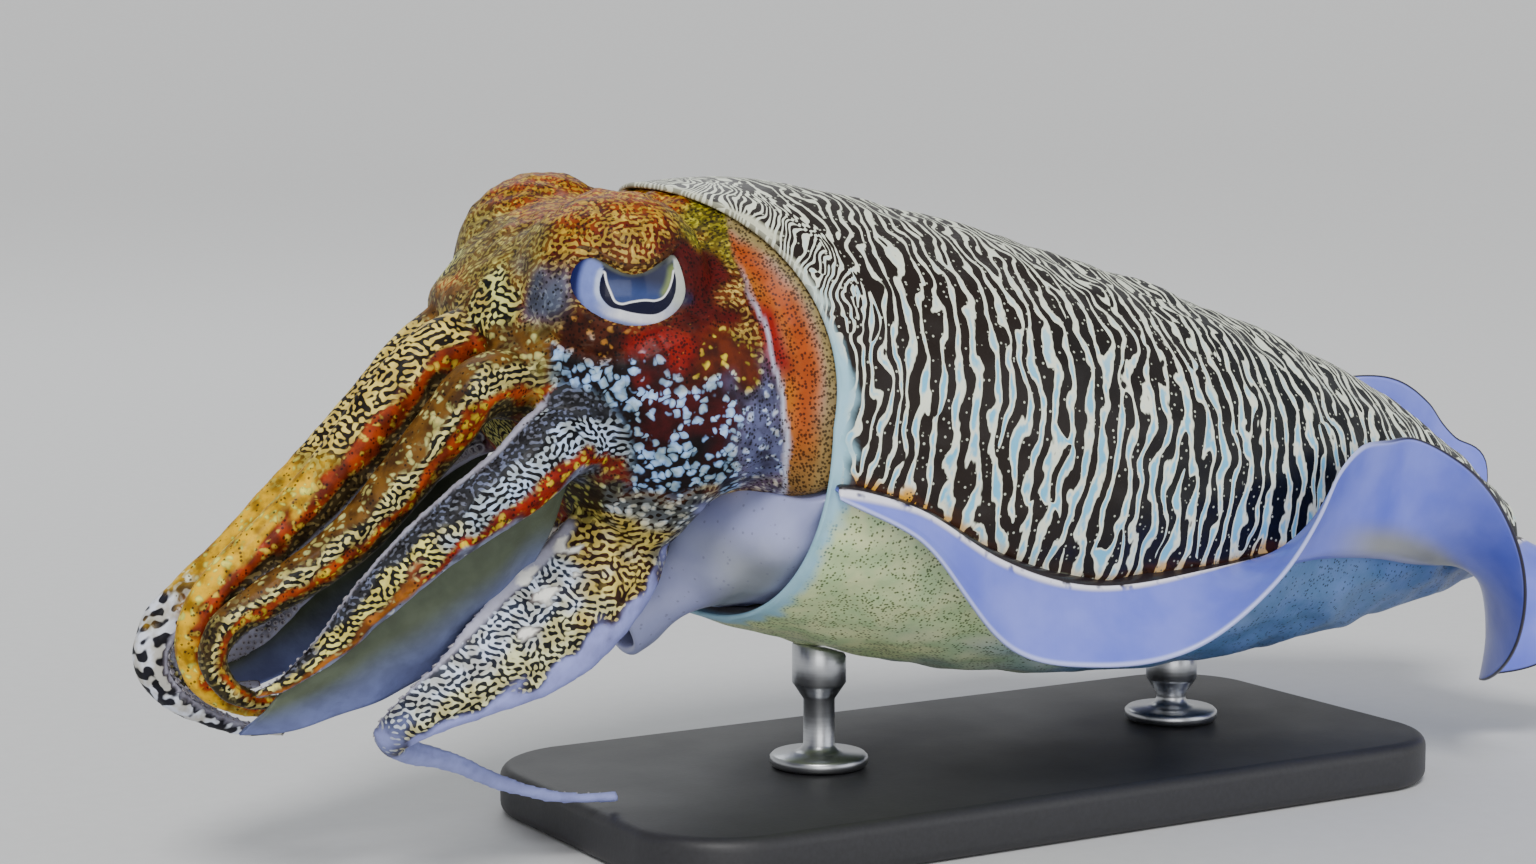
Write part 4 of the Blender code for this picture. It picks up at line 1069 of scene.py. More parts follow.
@dataclass(frozen=True)
class Arms:
    """The eight arms: where each leaves the crown, how it runs, and its cross-section."""

    crown: tuple = (-0.0095, -0.0085, 46.0)
    ring_half_width: float = 0.023
    ring_half_height: float = 0.024
    base_angles: tuple = (20.0, 55.0, 93.0, 148.0)
    root: float = 0.012
    sunk: float = 0.006
    least: float = 0.00095
    rings: int = 96
    sides: int = 40
    half_profile: tuple = ((1, 0), (0.84, 0.46), (0.45, 0.86), (-0.05, 1), (-0.55, 0.92), (-0.92, 0.72))
    oral: tuple = (-0.62, 0.0)
    shapes: tuple = (
        ArmShape(
            route=(
                (-38.5, -8.3, 0.6), (-44.9, -8.0, -7.7), (-51.0, -7.2, -18.6), (-57.9, -6.6, -29.2),
                (-64.7, -6.2, -37.8), (-70.4, -6.0, -44.8), (-73.7, -6.0, -51.0), (-74.5, -6.0, -57.0),
                (-71.5, -6.0, -63.0), (-64.3, -6.0, -66.4), (-55.1, -6.0, -66.6), (-46.7, -6.0, -64.4),
            ),
            half_depth=((0, 7.0), (0.25, 6.2), (0.5, 4.8), (0.7, 3.8), (0.85, 2.3), (1, 0.7)),
            half_width=((0, 6.3), (0.25, 5.6), (0.5, 4.6), (0.7, 3.6), (0.85, 2.2), (1, 0.7)),
        ),
        ArmShape(
            route=(
                (-34.9, -21.5, -3.6), (-40.0, -20.0, -12.2), (-45.4, -18.3, -22.2), (-51.7, -16.8, -32.6),
                (-59.5, -15.5, -41.0), (-67.6, -15.0, -47.6), (-72.9, -14.8, -52.8), (-73.8, -14.7, -58.2),
                (-70.0, -14.6, -63.2), (-62.7, -14.5, -64.7), (-55.3, -14.5, -63.1),
            ),
            half_depth=((0, 7.2), (0.25, 6.3), (0.5, 4.8), (0.7, 3.5), (0.85, 2.2), (1, 0.7)),
            half_width=((0, 6.2), (0.25, 5.4), (0.5, 4.5), (0.7, 3.4), (0.85, 2.2), (1, 0.7)),
            shift=(3.4, 0.8, -2.4),
        ),
        ArmShape(
            route=(
                (-19.9, -28.2, -10.8), (-28.0, -29.3, -19.1), (-35.2, -27.8, -26.3), (-41.1, -25.9, -33.0),
                (-46.1, -24.5, -39.5), (-50.9, -23.3, -46.1), (-55.1, -22.4, -52.5), (-59.4, -21.7, -57.2),
                (-63.6, -21.2, -61.0), (-67.6, -20.8, -62.9),
            ),
            half_depth=((0, 8.0), (0.25, 7.0), (0.5, 5.4), (0.75, 3.6), (0.9, 1.8), (1, 0.7)),
            half_width=((0, 8.0), (0.08, 6.6), (0.25, 5.8), (0.5, 4.8), (0.75, 3.2), (0.9, 1.7), (1, 0.7)),
            shift=(5.8, 3.0, -3.8),
        ),
        ArmShape(
            route=(
                (-1.0, -16.5, -31.0), (-8.5, -20.0, -39.5), (-18.1, -23.0, -47.6), (-29.5, -24.0, -57.0),
                (-37.0, -23.2, -63.2), (-39.5, -19.5, -68.0), (-33.5, -14.5, -71.2), (-23.6, -12.5, -72.8),
                (-12.6, -12.0, -75.9), (0.4, -12.0, -77.6), (12.8, -12.0, -76.6),
            ),
            half_depth=((0, 9.8), (0.15, 11.5), (0.32, 11.2), (0.46, 6.2), (0.56, 3.4), (1, 0.7)),
            half_width=((0, 10.0), (0.07, 7.4), (0.15, 6.0), (0.32, 4.6), (0.46, 3.6), (0.56, 2.8), (1, 0.7)),
        ),
    )
    right_first: tuple = (
        (-34.2, 8.5, -1.0), (-40.8, 7.4, -10.3), (-48.6, 6.8, -20.8), (-57.2, 6.2, -31.5),
        (-64.7, 6.0, -41.3), (-72.1, 6.0, -49.8), (-76.7, 6.0, -56.3), (-77.2, 6.0, -62.2),
        (-72.5, 6.0, -67.7), (-64.9, 6.0, -71.0), (-57.4, 6.0, -72.8), (-49.5, 6.0, -72.5),
    )
    right_fourth: tuple = (
        (4.0, 17.5, -35.5), (-4.5, 19.0, -44.2), (-15.0, 18.0, -51.4), (-24.5, 15.0, -58.0),
        (-35.0, 13.0, -63.0), (-44.0, 12.0, -66.5), (-51.5, 11.0, -68.0),
    )

    def base(self, number: int, side: int) -> tuple[Array, Array]:
        """Where an arm's centre line leaves the crown, and the direction outwards from the mouth."""
        x, z, facing = self.crown
        angle = math.radians(self.base_angles[number - 1])
        across = side * self.ring_half_width * math.sin(angle)
        offset = np.array([0.0, across, 0.0]) + self.ring_half_height * math.cos(angle) * tilted(facing)[0]
        return moved(np.array([x, 0.0, z]) + offset, POSE.matrix()), POSE.turned(unit(offset))

    def route(self, number: int, side: int) -> Array:
        """The centre line's own points, from inside the head to the tip."""
        base, _ = self.base(number, side)
        shape = self.shapes[number - 1]
        own = {1: self.right_first, 4: self.right_fourth}
        if side == LEFT:
            points = np.array(shape.route)
        elif number in own:
            points = np.array(own[number])
        else:
            points = np.array(shape.route) * (1, -1, 1) + np.array(shape.shift)
        points = points / MM
        return np.array([base - unit(points[0] - base) * self.sunk, base, *points])

    def frames(self, number: int, side: int, count: int) -> tuple[Array, ...]:
        """Centre line, outward and sideways directions, and share of length at each ring.

        Formula: the outward direction starts as the base's and loses, at each next point, its
        part along the line there.
        """
        _, out = self.base(number, side)
        line, shares = route_line(self.route(number, side), count, 1.15)
        tangents = unit(np.gradient(line, axis=0))
        outs = []
        for tangent in tangents:
            out = unit(out - tangent * (out @ tangent))
            outs.append(out)
        return line, np.array(outs), np.cross(tangents, outs), shares

    def section(self) -> Array:
        """The cross-section as (outward, across) shares: a smooth closed line through its points."""
        left = [(a, -b) for a, b in self.half_profile[:0:-1]]
        corners = np.array([*self.half_profile, self.oral, *left])
        places = np.arange(-3, len(corners) + 4)
        table = np.column_stack([places, np.take(corners, places, 0, mode="wrap")])
        at = np.linspace(0.0, len(corners), self.sides, endpoint=False)
        return np.column_stack([through(table, at, 1), through(table, at, 2)])

    def rings_of(self, number: int, side: int) -> Array:
        """An arm's rings: its section scaled by half depth and half width, carried along the line."""
        line, outs, across, shares = self.frames(number, side, self.rings)
        shape, section = self.shapes[number - 1], self.section()
        depth = shape.depth(shares, self.least)[:, None] * section[:, 0]
        width = shape.width(shares, self.least)[:, None] * section[:, 1]
        rings = line[:, None] + depth[..., None] * outs[:, None] + width[..., None] * across[:, None]
        back = unit(line[0] - line[1]) * (self.root - self.sunk)
        return np.concatenate([(rings[0] + back)[None], rings])


# The skin of head, neck and arms


class Layer:
    """Colours and pattern strengths over a skin's vertices, laid one over another."""

    def __init__(self, count: int) -> None:
        """Starts with a plain brown ground and no pattern."""
        self.ground = np.tile(linear((120, 74, 30)), (count, 1))
        self.spots = np.tile(linear((235, 220, 170)), (count, 1))
        self.strengths = {name: np.zeros(count) for name in ("cover", "dots", "specks", "coarse")}

    def lay(self, mask: Array | float, ground: tuple, spots: tuple | None = None,
            *strengths: float) -> None:
        """Lays colours and strengths over what is there.

        Formula: new = old + (given - old) * mask, for each thing that is given.

        Args:
            mask: 0 to 1 at each vertex.
            ground: the colour between the marks.
            spots: the marks' colour.
            strengths: the share that the marks cover, then 0 for winding bars to 1 for round
                blotches, how many fine dark specks, and 0 for fine marks to 1 for large ones.
        """
        mask = mask * np.ones(len(self.ground))
        self.ground = self.ground + (linear(ground) - self.ground) * mask[:, None]
        if spots is not None:
            self.spots = self.spots + (linear(spots) - self.spots) * mask[:, None]
        for name, value in zip(self.strengths, strengths):
            self.strengths[name] = self.strengths[name] + (value - self.strengths[name]) * mask

    def keep(self, obj: Piece) -> None:
        """Stores the colours and strengths at a piece's vertices."""
        store(obj, "colour_ground", self.ground)
        store(obj, "colour_spots", self.spots)
        for name, values in self.strengths.items():
            store(obj, name, np.clip(values, 0.0, 1.0))


@dataclass(frozen=True)
class Patch:
    """One patch of pattern: its reach two ways, its softness, and what Layer.lay is given.

    On the head the reach is along and up the side's chart, in millimetres. On an arm it is the
    share across, upwards, and the share of the length.
    """

    first: tuple
    second: tuple
    soft: float
    lays: tuple
    right_only: bool = False


BLACK = (18, 18, 12)
CREAM = (226, 216, 140)
GOLD = (240, 196, 40)
FAR = 99.0
ALL = (-FAR, FAR)

HEAD_PATCHES = (
    Patch(ALL, ALL, 1, ((104, 50, 12), (232, 196, 96), 0.46, 0.3, 0.3, 0)),
    Patch((-20, 18), (6, FAR), 2, ((110, 34, 4), (236, 196, 70), 0.48, 0.3, 0.2, 0)),
    Patch((-30, 12), (13, FAR), 2.5, ((150, 64, 4), (232, 184, 30), 0.44, 0.4, 0.4, 0)),
    Patch((-32, -16), (20, FAR), 3, ((120, 84, 4), (222, 190, 30), 0.46, 0.4, 0.3, 0)),
    Patch((13, 30), (7, FAR), 3, ((112, 104, 4), (222, 206, 50), 0.42, 0.5, 0.6, 0)),
    Patch((-30, -12), (0, 13), 3, ((112, 84, 22), (222, 204, 100), 0.44, 0.5, 0.2, 0)),
    Patch((-FAR, -30), (-6, FAR), 3, ((180, 84, 8), (244, 214, 90), 0.48, 0.1, 0.2, 0)),
    Patch((-11, 24), (-37, -11), 1.3, ((20, 10, 14), (186, 220, 255), 0.68, 1, 0, 0)),
    Patch((6, 24), (-28, -15), 2.5, ((62, 10, 12), (190, 220, 255), 0.64, 1, 0, 0)),
    Patch((23, 33), (-37, -12), 4, ((92, 96, 134), (206, 214, 240), 0.46, 1, 0.4, 0)),
    Patch((-11, 3), (-44, -33.5), 1.8, ((50, 34, 10), (206, 196, 92), 0.5, 1, 0, 0)),
    Patch((-2, 18), (-52, -37.5), 1.8, ((28, 20, 14), (232, 232, 222), 0.6, 0.8, 0, 0.2)),
    Patch((-19, -11), (-43, -8), 1.3, ((168, 52, 8), (238, 190, 60), 0.34, 1, 0.3, 0)),
    Patch((-26, -10), (-46, -34), 1.8, ((170, 46, 6), (240, 196, 50), 0.38, 1, 0.2, 0)),
    Patch((-15.5, -11), (-27, -7), 1.3, ((134, 116, 34), (214, 206, 120), 0.5, 1, 0, 0)),
    Patch((-26.5, -18), (-36, 4), 1, (BLACK, (222, 220, 130), 0.5, 0, 0, 0.12)),
    Patch((-34.5, -26.5), (-34, 1), 1.5, ((132, 90, 30), (224, 206, 124), 0.46, 1, 0.2, 0)),
    Patch((-10, 6), (-11.5, -6), 1.2, ((70, 26, 8), (196, 130, 50), 0.4, 1, 0.3, 0)),
    Patch((4, 20), (-15, -7), 1.5, ((140, 16, 4), (196, 90, 30), 0.2, 1, 0.5, 0)),
    Patch((14, 27), (-16.5, -8), 2, ((96, 34, 6), (232, 196, 50), 0.46, 1, 0, 0)),
    Patch((10.5, 20.5), (-8, 9.5), 1.8, ((84, 10, 8), (150, 40, 24), 0.16, 1, 0.4, 0)),
    Patch((-14.5, -9), (-6, 5), 3.2, ((84, 94, 116), (160, 170, 190), 0.2, 0.6, 0.2, 0)),
    Patch((9, 12.6), (-4, 6.5), 0.9, ((32, 24, 54), (90, 70, 90), 0, 1, 0.2, 0)),
)

ARM_LANES = {
    1: (
        Patch(ALL, (0, 2), 0.1, ((56, 44, 24), (136, 116, 70), 0.3, 0.3, 0.2, 0)),
        Patch((-0.32, 0.46), (0, 2), 0.1, ((164, 56, 6), (244, 196, 60), 0.46, 1, 0.2, 0)),
        Patch((0.4, FAR), (-1, 0.42), 0.1, ((30, 20, 8), (240, 214, 110), 0.5, 0, 0, 0.1)),
        Patch((0.4, FAR), (0.4, 0.84), 0.1, ((236, 184, 8), (255, 240, 96), 0.46, 1, 0.1, 0)),
        Patch(ALL, (0.64, 2), 0.1, ((30, 30, 40), (224, 230, 246), 0.52, 0, 0, 1), True),
    ),
    2: (
        Patch(ALL, (0, 2), 0.1, ((60, 52, 30), (146, 132, 80), 0.3, 0.3, 0.2, 0)),
        Patch((0.56, FAR), (0, 0.75), 0.1, ((112, 74, 20), (216, 202, 116), 0.5, 1, 0.1, 0)),
        Patch((0, 0.56), (0, 2), 0.1, (BLACK, CREAM, 0.5, 0, 0, 0)),
        Patch((-0.52, -0.05), (0, 2), 0.1, ((168, 60, 6), GOLD, 0.5, 1, 0.2, 0)),
    ),
    3: (
        Patch(ALL, (0, 2), 0.1, ((48, 50, 56), (126, 132, 160), 0.34, 0.3, 0.2, 0)),
        Patch((-0.08, 0.74), (0, 0.52), 0.1, ((12, 14, 22), (186, 206, 236), 0.5, 0, 0, 0)),
        Patch((-0.08, 0.74), (0.5, 2), 0.1, ((20, 18, 12), (232, 222, 120), 0.5, 0, 0, 0)),
        Patch((-0.66, -0.1), (0, 0.62), 0.1, ((150, 30, 4), GOLD, 0.5, 1, 0.2, 0)),
        Patch((-0.66, -0.1), (0.6, 2), 0.1, ((176, 104, 30), (216, 190, 110), 0.3, 1, 0.1, 0)),
        Patch((-FAR, -0.68), (0.15, 2), 0.1, ((132, 138, 164), (206, 212, 232), 0.3, 1, 0, 0)),
    ),
    4: (
        Patch(ALL, (0, 0.4), 0.1, ((56, 28, 8), (238, 216, 116), 0.48, 0.1, 0, 0.1)),
        Patch(ALL, (0.22, 0.7), 0.1, ((34, 34, 30), (222, 222, 172), 0.52, 0, 0, 0)),
        Patch((0.2, FAR), (0.2, 0.56), 0.25, ((40, 48, 66), (214, 226, 246), 0.54, 0, 0, 0)),
        Patch((-FAR, -0.66), (0.05, 2), 0.1, ((150, 156, 218), (200, 204, 244), 0, 0.5, 0, 0)),
        Patch(ALL, (0.56, 2), 0.1, ((150, 158, 216), (206, 210, 240), 0, 0.5, 0, 0)),
    ),
}


@dataclass(frozen=True)
class SkinFinish:
    """Mottled skin: a ground colour under bars or blotches, with fine dark specks over both."""

    fine_bar: float = 0.00112
    coarse_bar: float = 0.0026
    blotch: float = 0.0018
    speck: float = 0.00054

    def make(self, groups: SkinGroups) -> Material:
        """Builds the material from the vertices' colours and strengths.

        Args:
            groups: the shared node groups.

        Returns:
            The material.
        """
        g = SkinGraph("head and arm skin", groups, 0.55, 0.04, 0.2, 0.14)
        at, cover, dots = g.place(), g.stored("cover"), g.stored("dots")
        length = g.scaled(g.stored("coarse"), self.fine_bar, self.coarse_bar)
        bars = g.use(groups.worms, at, Length=length, Share=cover).outputs["Mask"]
        blotches = g.use(groups.dots, at, Size=self.blotch, Share=cover).outputs
        inputs = {0: dots, 2: bars, 3: blotches["Mask"]}
        marks = g.node("ShaderNodeMix", {"data_type": "FLOAT"}, inputs).outputs[0]
        marks = g.product(marks, g.rise(cover, 0.02, 0.12))
        ground, spots = g.stored("colour_ground", "Color"), g.stored("colour_spots", "Color")
        clouds = g.noise(at, 1 / 0.0036, 3.0)
        shade = g.product(g.fall(clouds, 0.32, 0.66), g.scaled(g.rise(cover, 0.02, 0.3), 0.25, 1.0))
        ground = g.mix(shade, ground, g.times(ground, (150, 140, 140)))
        spots = g.mix(g.rise(clouds, 0.4, 0.62), g.times(spots, (214, 206, 186)), spots)
        edge = g.product(dots, g.less(1.0, blotches["Core"]))
        spots = g.mix(edge, spots, g.times(spots, (176, 196, 226)))
        colour = g.mix(marks, ground, spots)
        specks = g.product(g.specks(at, self.speck, g.stored("specks"), 0.5), 0.85)
        colour = g.mix(specks, colour, g.times(colour, (74, 60, 52)))
        return g.done(colour, g.relief(at, 0.0008, 0.003, 0.6), 0.4, 0.0005)


@dataclass(frozen=True)
class Lids:
    """The outline of the eye's opening, and the soft lids that follow it.

    The droop and the rise each have the degrees where they are, their height and their spread.
    """

    half_width: float = 0.013
    half_height: float = 0.0085
    droop: tuple = (96.0, 0.0058, 31.0)
    rise: tuple = (50.0, 0.003, 19.0)
    ball: float = 0.01615
    thin: float = 0.0005
    thick: float = 0.00085
    points: int = 220
    sides: int = 16

    def outline(self, t: Array, grow: float | Array = 0.0) -> tuple[Array, Array]:
        """The opening's outline: an oval less a bell-shaped droop, plus a bell-shaped rise behind.

        Args:
            t: angle round the opening, a quarter turn being its top.
            grow: added to the half width and half height.

        Returns:
            Distances towards the tail and up the eye.
        """
        turned = np.degrees(t) % 360.0
        droop, rise = (height * np.exp(-(((turned - at) / spread) ** 2))
                       for at, height, spread in (self.droop, self.rise))
        return (self.half_width + grow) * np.cos(t), (self.half_height + grow) * np.sin(t) - droop + rise

    def inside(self, local: Array) -> Array:
        """Distance to the outline of points in the eye's frame, positive inside the opening."""
        line = np.column_stack(self.outline(turns(360)))
        gaps = np.linalg.norm(local[:, None, :2] - line[None], axis=-1).min(axis=1)
        across = np.arccos(np.clip(local[:, 0] / self.half_width, -1.0, 1.0))
        top, bottom = self.outline(across)[1], self.outline(-across)[1]
        within = (np.abs(local[:, 0]) < self.half_width) & (local[:, 1] < top) & (local[:, 1] > bottom)
        return np.where(within, gaps, -gaps)

    def build(self, side: int) -> Piece:
        """Makes one eye's lids: a tube on the ball of the eye, thicker above than below.

        Formula: a circle of the tube's radius is carried along the outline, which is closed.

        Args:
            side: left or right.

        Returns:
            The lids' piece, with its colours.
        """
        t = turns(self.points)
        radius = self.thin + (self.thick - self.thin) * ramp(np.sin(t), -0.2, 0.5)
        x, y = self.outline(t, radius * 0.9)
        flat = np.minimum(x**2 + y**2, (0.93 * self.ball) ** 2)
        line = np.column_stack([x, y, np.sqrt(self.ball**2 - flat)])
        placed = POSE.placed(line, side)
        out = POSE.placed(line * 1.1, side) - placed
        ahead = unit(np.roll(placed, -1, axis=0) - np.roll(placed, 1, axis=0))
        out = unit(out - ahead * np.sum(out * ahead, axis=1, keepdims=True))
        spokes = spokes_round(turns(self.sides), out, np.cross(ahead, out))
        rings = placed[:, None] + radius[:, None, None] * spokes
        faces = grid_quads(len(rings) + 1, self.sides) % (len(rings) * self.sides)
        obj = make_object(f"lids_{SIDE_WORDS[side]}", rings, [faces])
        rear, high = (np.repeat(f(t), self.sides) for f in (np.cos, np.sin))
        top = ramp(high, 0.0, 0.6)
        layer = Layer(len(obj.data.vertices))
        layer.lay(1.0, (92, 54, 20), (206, 168, 80), 0.36, 0.3, 0.4, 0.0)
        layer.lay(top * ramp(rear, 0.1, 0.7), (70, 14, 10), (150, 50, 30), 0.0, 1.0, 0.3)
        layer.lay(ramp(-rear, 0.5, 0.9), (92, 84, 62), (170, 160, 110), 0.2, 1.0, 0.3)
        layer.lay(1 - top, (108, 112, 104), (190, 196, 190), 0.0, 1.0, 0.3)
        layer.lay((1 - top) * ramp(rear, 0.2, 0.8), (92, 60, 90), (150, 130, 150), 0.0)
        layer.keep(obj)
        return obj


@dataclass(frozen=True)
class SidePlane:
    """A flat chart of the head's side: distances towards the tail and up from the left eye.

    The chart stands across a line that looks at the left side from a little in front and above.
    Points of the right side are mirrored onto the left first.
    """

    azimuth: float = math.radians(-30.5)
    elevation: float = math.radians(6.5)

    def read(self, world: Array) -> tuple[Array, Array]:
        """Millimetres towards the tail and up at each point."""
        flat = moved(POSTURE.body(world), POSE.matrix().inverted())
        flat[:, 1] = -np.abs(flat[:, 1])
        centre = POSE.placed(np.zeros((1, 3)), LEFT)[0]
        offset = (POSTURE.world(moved(flat, POSE.matrix())) - centre) * MM
        a, e = self.azimuth, self.elevation
        right = np.array([math.cos(a), math.sin(a), 0.0])
        up = np.array([-math.sin(a) * math.sin(e), math.cos(a) * math.sin(e), math.cos(e)])
        return offset @ right, offset @ up


@dataclass(frozen=True)
class HeadSkin:
    """One skin over neck, head and arms, so that nothing shows where they join.

    Sections are as section_ring reads them. A groove has its arm's number, its place and width
    as shares across, and its depth in millimetres. The fold is a line on the side's chart, up and
    along, and a blotch has its place there and its size.
    """

    sections: tuple = (
        (17, 2, 20, 40, 34, 17.8), (8, 2, 27, 41, 36.5, 23.2), (0.5, 0, 33, 40, 37, 29),
        (-5.5, -4, 40, 36.5, 35, 31.5), (-9.5, -8.5, 46, 32.5, 33, 32.5),
    )
    neck_back: tuple = (35.7, 2, 0, 40, 34, 11)
    roundness: float = 2.3
    rings: int = 70
    neck_rings: int = 12
    columns: int = 132
    socket_skin: float = 0.0027
    lid_skin: float = 0.0012
    blend: float = 0.003
    dome: float = 0.0095
    voxel: float = 0.00079
    socket_floor: float = 0.0138
    samples: int = 110
    fold: tuple = (
        (-60, 33), (-41, 31.5), (-20, 31), (-10, 28), (0, 24), (14.7, 20.3), (20, 18), (40, 12),
    )
    grooves: tuple = (
        (1, 0.42, 0.1, 0.5), (1, -0.35, 0.12, 0.4), (2, 0.55, 0.1, 0.4), (2, -0.05, 0.1, 0.5),
        (2, -0.5, 0.1, 0.3), (3, -0.08, 0.1, 0.5), (3, 0.62, 0.12, 0.3), (3, -0.62, 0.1, 0.3),
        (4, -0.6, 0.1, 0.6),
    )
    blotches: tuple = (
        (-9.4, -47.6, 1.6), (-17.1, -51.7, 1.1), (-12.2, -55.9, 1.3), (-15.1, -62.5, 1.1), (-7.0, -52.5, 0.7),
    )

    def round_the_eyes(self, points: Array) -> Array:
        """Pushes points out to a ball round each eye.

        Formula: the distance from the eye's centre becomes the smooth maximum of itself and the
        ball's radius, with a blend of the given width.

        Args:
            points: places in the head's frame before it is turned.

        Returns:
            The pushed points.
        """
        ball = POSE.eye_radius + self.socket_skin
        for side in (LEFT, RIGHT):
            away = points - POSE.centre(side)
            distance = np.linalg.norm(away, axis=-1, keepdims=True)
            overlap = np.clip((ball - distance) / self.blend, -1.0, 1.0)
            blended = ball + self.blend * (1 - overlap) ** 2 / 4
            reach = np.where(overlap >= 1.0, ball, np.where(overlap <= -1.0, distance, blended))
            points = POSE.centre(side) + away / distance * np.maximum(reach, distance)
        return points

    def head_rings(self, mantle: Mantle) -> Array:
        """Rings from the neck's back to the middle of the crown's dome, in the animal's frame."""
        sections = run_through(self.sections, self.rings)
        head = np.array([section_ring(s, self.columns, self.roundness) for s in sections])
        weight = ramp(np.arange(self.rings), 0.0, 8.0)[:, None, None]
        head = moved(head + (self.round_the_eyes(head) - head) * weight, POSE.matrix())
        back = section_ring(self.neck_back, self.columns, self.roundness)
        shares = np.linspace(0.0, 1.0, self.neck_rings, endpoint=False)[:, None, None]
        neck = back + (head[0] - back) * shares
        ahead = POSE.turned(-tilted(self.sections[-1][2])[1])
        centre = head[-1].mean(axis=0)
        turn = np.linspace(0.0, math.pi / 2, 12)[1:-1, None, None]
        crown = centre + (head[-1] - centre) * np.cos(turn) + ahead * self.dome * np.sin(turn)
        return np.concatenate([mantle.fill(np.concatenate([neck, head])), crown])

    def build(self, arms: Arms, lids: Lids, mantle: Mantle) -> Piece:
        """Makes the skin: head and arms are lofted, fused by a voxel remesh and smoothed.

        Args:
            arms: the arms' shapes.
            lids: the eyes' openings, which the skin is pushed in at.
            mantle: the mantle, whose opening the neck fills.

        Returns:
            The skin's piece.
        """
        lofts = [self.head_rings(mantle)]
        lofts += [arms.rings_of(number, side) for number in NUMBERS for side in (LEFT, RIGHT)]
        pieces = [loft(f"form_{index}", POSTURE.world(rings)) for index, rings in enumerate(lofts)]
        obj = self.fuse(pieces)
        smooth(obj, 6)
        self.open_the_eyes(obj, lids)
        self.wrinkle(obj)
        return obj

    def fuse(self, pieces: list) -> Piece:
        """Fuses closed pieces that overlap into one skin by a voxel remesh, and removes them."""
        bpy.ops.object.select_all(action="DESELECT")
        for piece in pieces:
            piece.select_set(True)
        joined = pieces[0]
        bpy.context.view_layer.objects.active = joined
        bpy.ops.object.join()
        remesh = joined.modifiers.new("remesh", "REMESH")
        remesh.mode = "VOXEL"
        remesh.voxel_size = self.voxel
        remesh.use_smooth_shade = True
        bpy.context.view_layer.update()
        mesh = bpy.data.meshes.new_from_object(joined.evaluated_get(bpy.context.evaluated_depsgraph_get()))
        bpy.data.objects.remove(joined)
        mesh.name = "head_skin"
        return link(mesh.name, mesh)

    def open_the_eyes(self, obj: Piece, lids: Lids) -> None:
        """Pushes the skin in under each eyeball inside the lids' outline, and thins it round them.

        Args:
            obj: the skin's piece.
            lids: the openings' outline.
        """
        places = vertices(obj)
        for side in (LEFT, RIGHT):
            local = POSE.local(places, side)
            far = np.linalg.norm(local, axis=1)
            ahead = (local[:, 2] > 0.002) & (np.linalg.norm(local[:, :2], axis=1) < 0.02)
            near = np.flatnonzero(ahead & (far < 0.0205) & (far > 0.014))
            spot, distance = local[near], far[near]
            depth = lids.inside(spot)
            skin = self.lid_skin + (self.socket_skin - self.lid_skin) * ramp(-depth, 0.0, 0.006)
            thin = POSE.eye_radius + skin
            target = np.where(ramp(-depth, 0.004, 0.007) < 1, np.minimum(distance, thin), distance)
            target = target + (self.socket_floor - target) * ramp(depth, -0.0002, 0.001)
            places[near] = POSE.placed(spot / distance[:, None] * target[:, None], side)
        set_vertices(obj, places)

    def wrinkle(self, obj: Piece) -> None:
        """Raises soft warts and folds: two sizes of ripples, strongest on the brow and the arms."""
        places = vertices(obj)
        along, up = SidePlane().read(places)
        folds = 0.5 * ripples(places, 0.0075, 21) + 0.5 * ripples(places, 0.0038, 22)
        amount = 0.00008 + 0.00026 * between(up, 6.0, 24.0, 3.0) * ramp(along, -30.0, -15.0)
        eyes = [POSE.local(places, side) for side in (LEFT, RIGHT)]
        from_ball = np.min([np.abs(np.linalg.norm(eye, axis=1) - 0.0165) for eye in eyes], axis=0)
        in_front = np.max([eye[:, 2] for eye in eyes], axis=0)
        calm = 1 - fall(from_ball, 0.0008, 0.0022) * ramp(in_front, 0.0, 0.006)
        push_out(obj, folds * amount * calm)

    def paint(self, obj: Piece, arms: Arms, mantle: Mantle) -> None:
        """Works out every vertex's colours and pattern, and cuts the grooves between the lanes.

        Args:
            obj: the skin's piece.
            arms: the arms' shapes, for the lanes of colour along them.
            mantle: the mantle, for the bands round the neck.
        """
        places = vertices(obj)
        body = POSTURE.body(places)
        layer = Layer(len(places))
        a, b = SidePlane().read(places)
        first, second = a + 1.3 * ripples(places, 0.008, 31), b + 1.3 * ripples(places, 0.008, 32)
        for patch in HEAD_PATCHES:
            mask = between(first, *patch.first, patch.soft) * between(second, *patch.second, patch.soft)
            layer.lay(mask, *patch.lays)
        self.paint_neck(layer, places, body, mantle)
        at = self.arm_places(body, arms)
        self.paint_arms(layer, body, at)
        for along, up, size in self.blotches:
            far = np.hypot((a - along) * 0.75, b - up) + 0.6 * ripples(places, 0.0025, 33)
            white = (255, 254, 246)
            layer.lay(fall(far, size - 0.4, size + 0.4), white, white, 0.0, 1.0, 0.0, 0.0)
        layer.keep(obj)
        self.groove(obj, at)

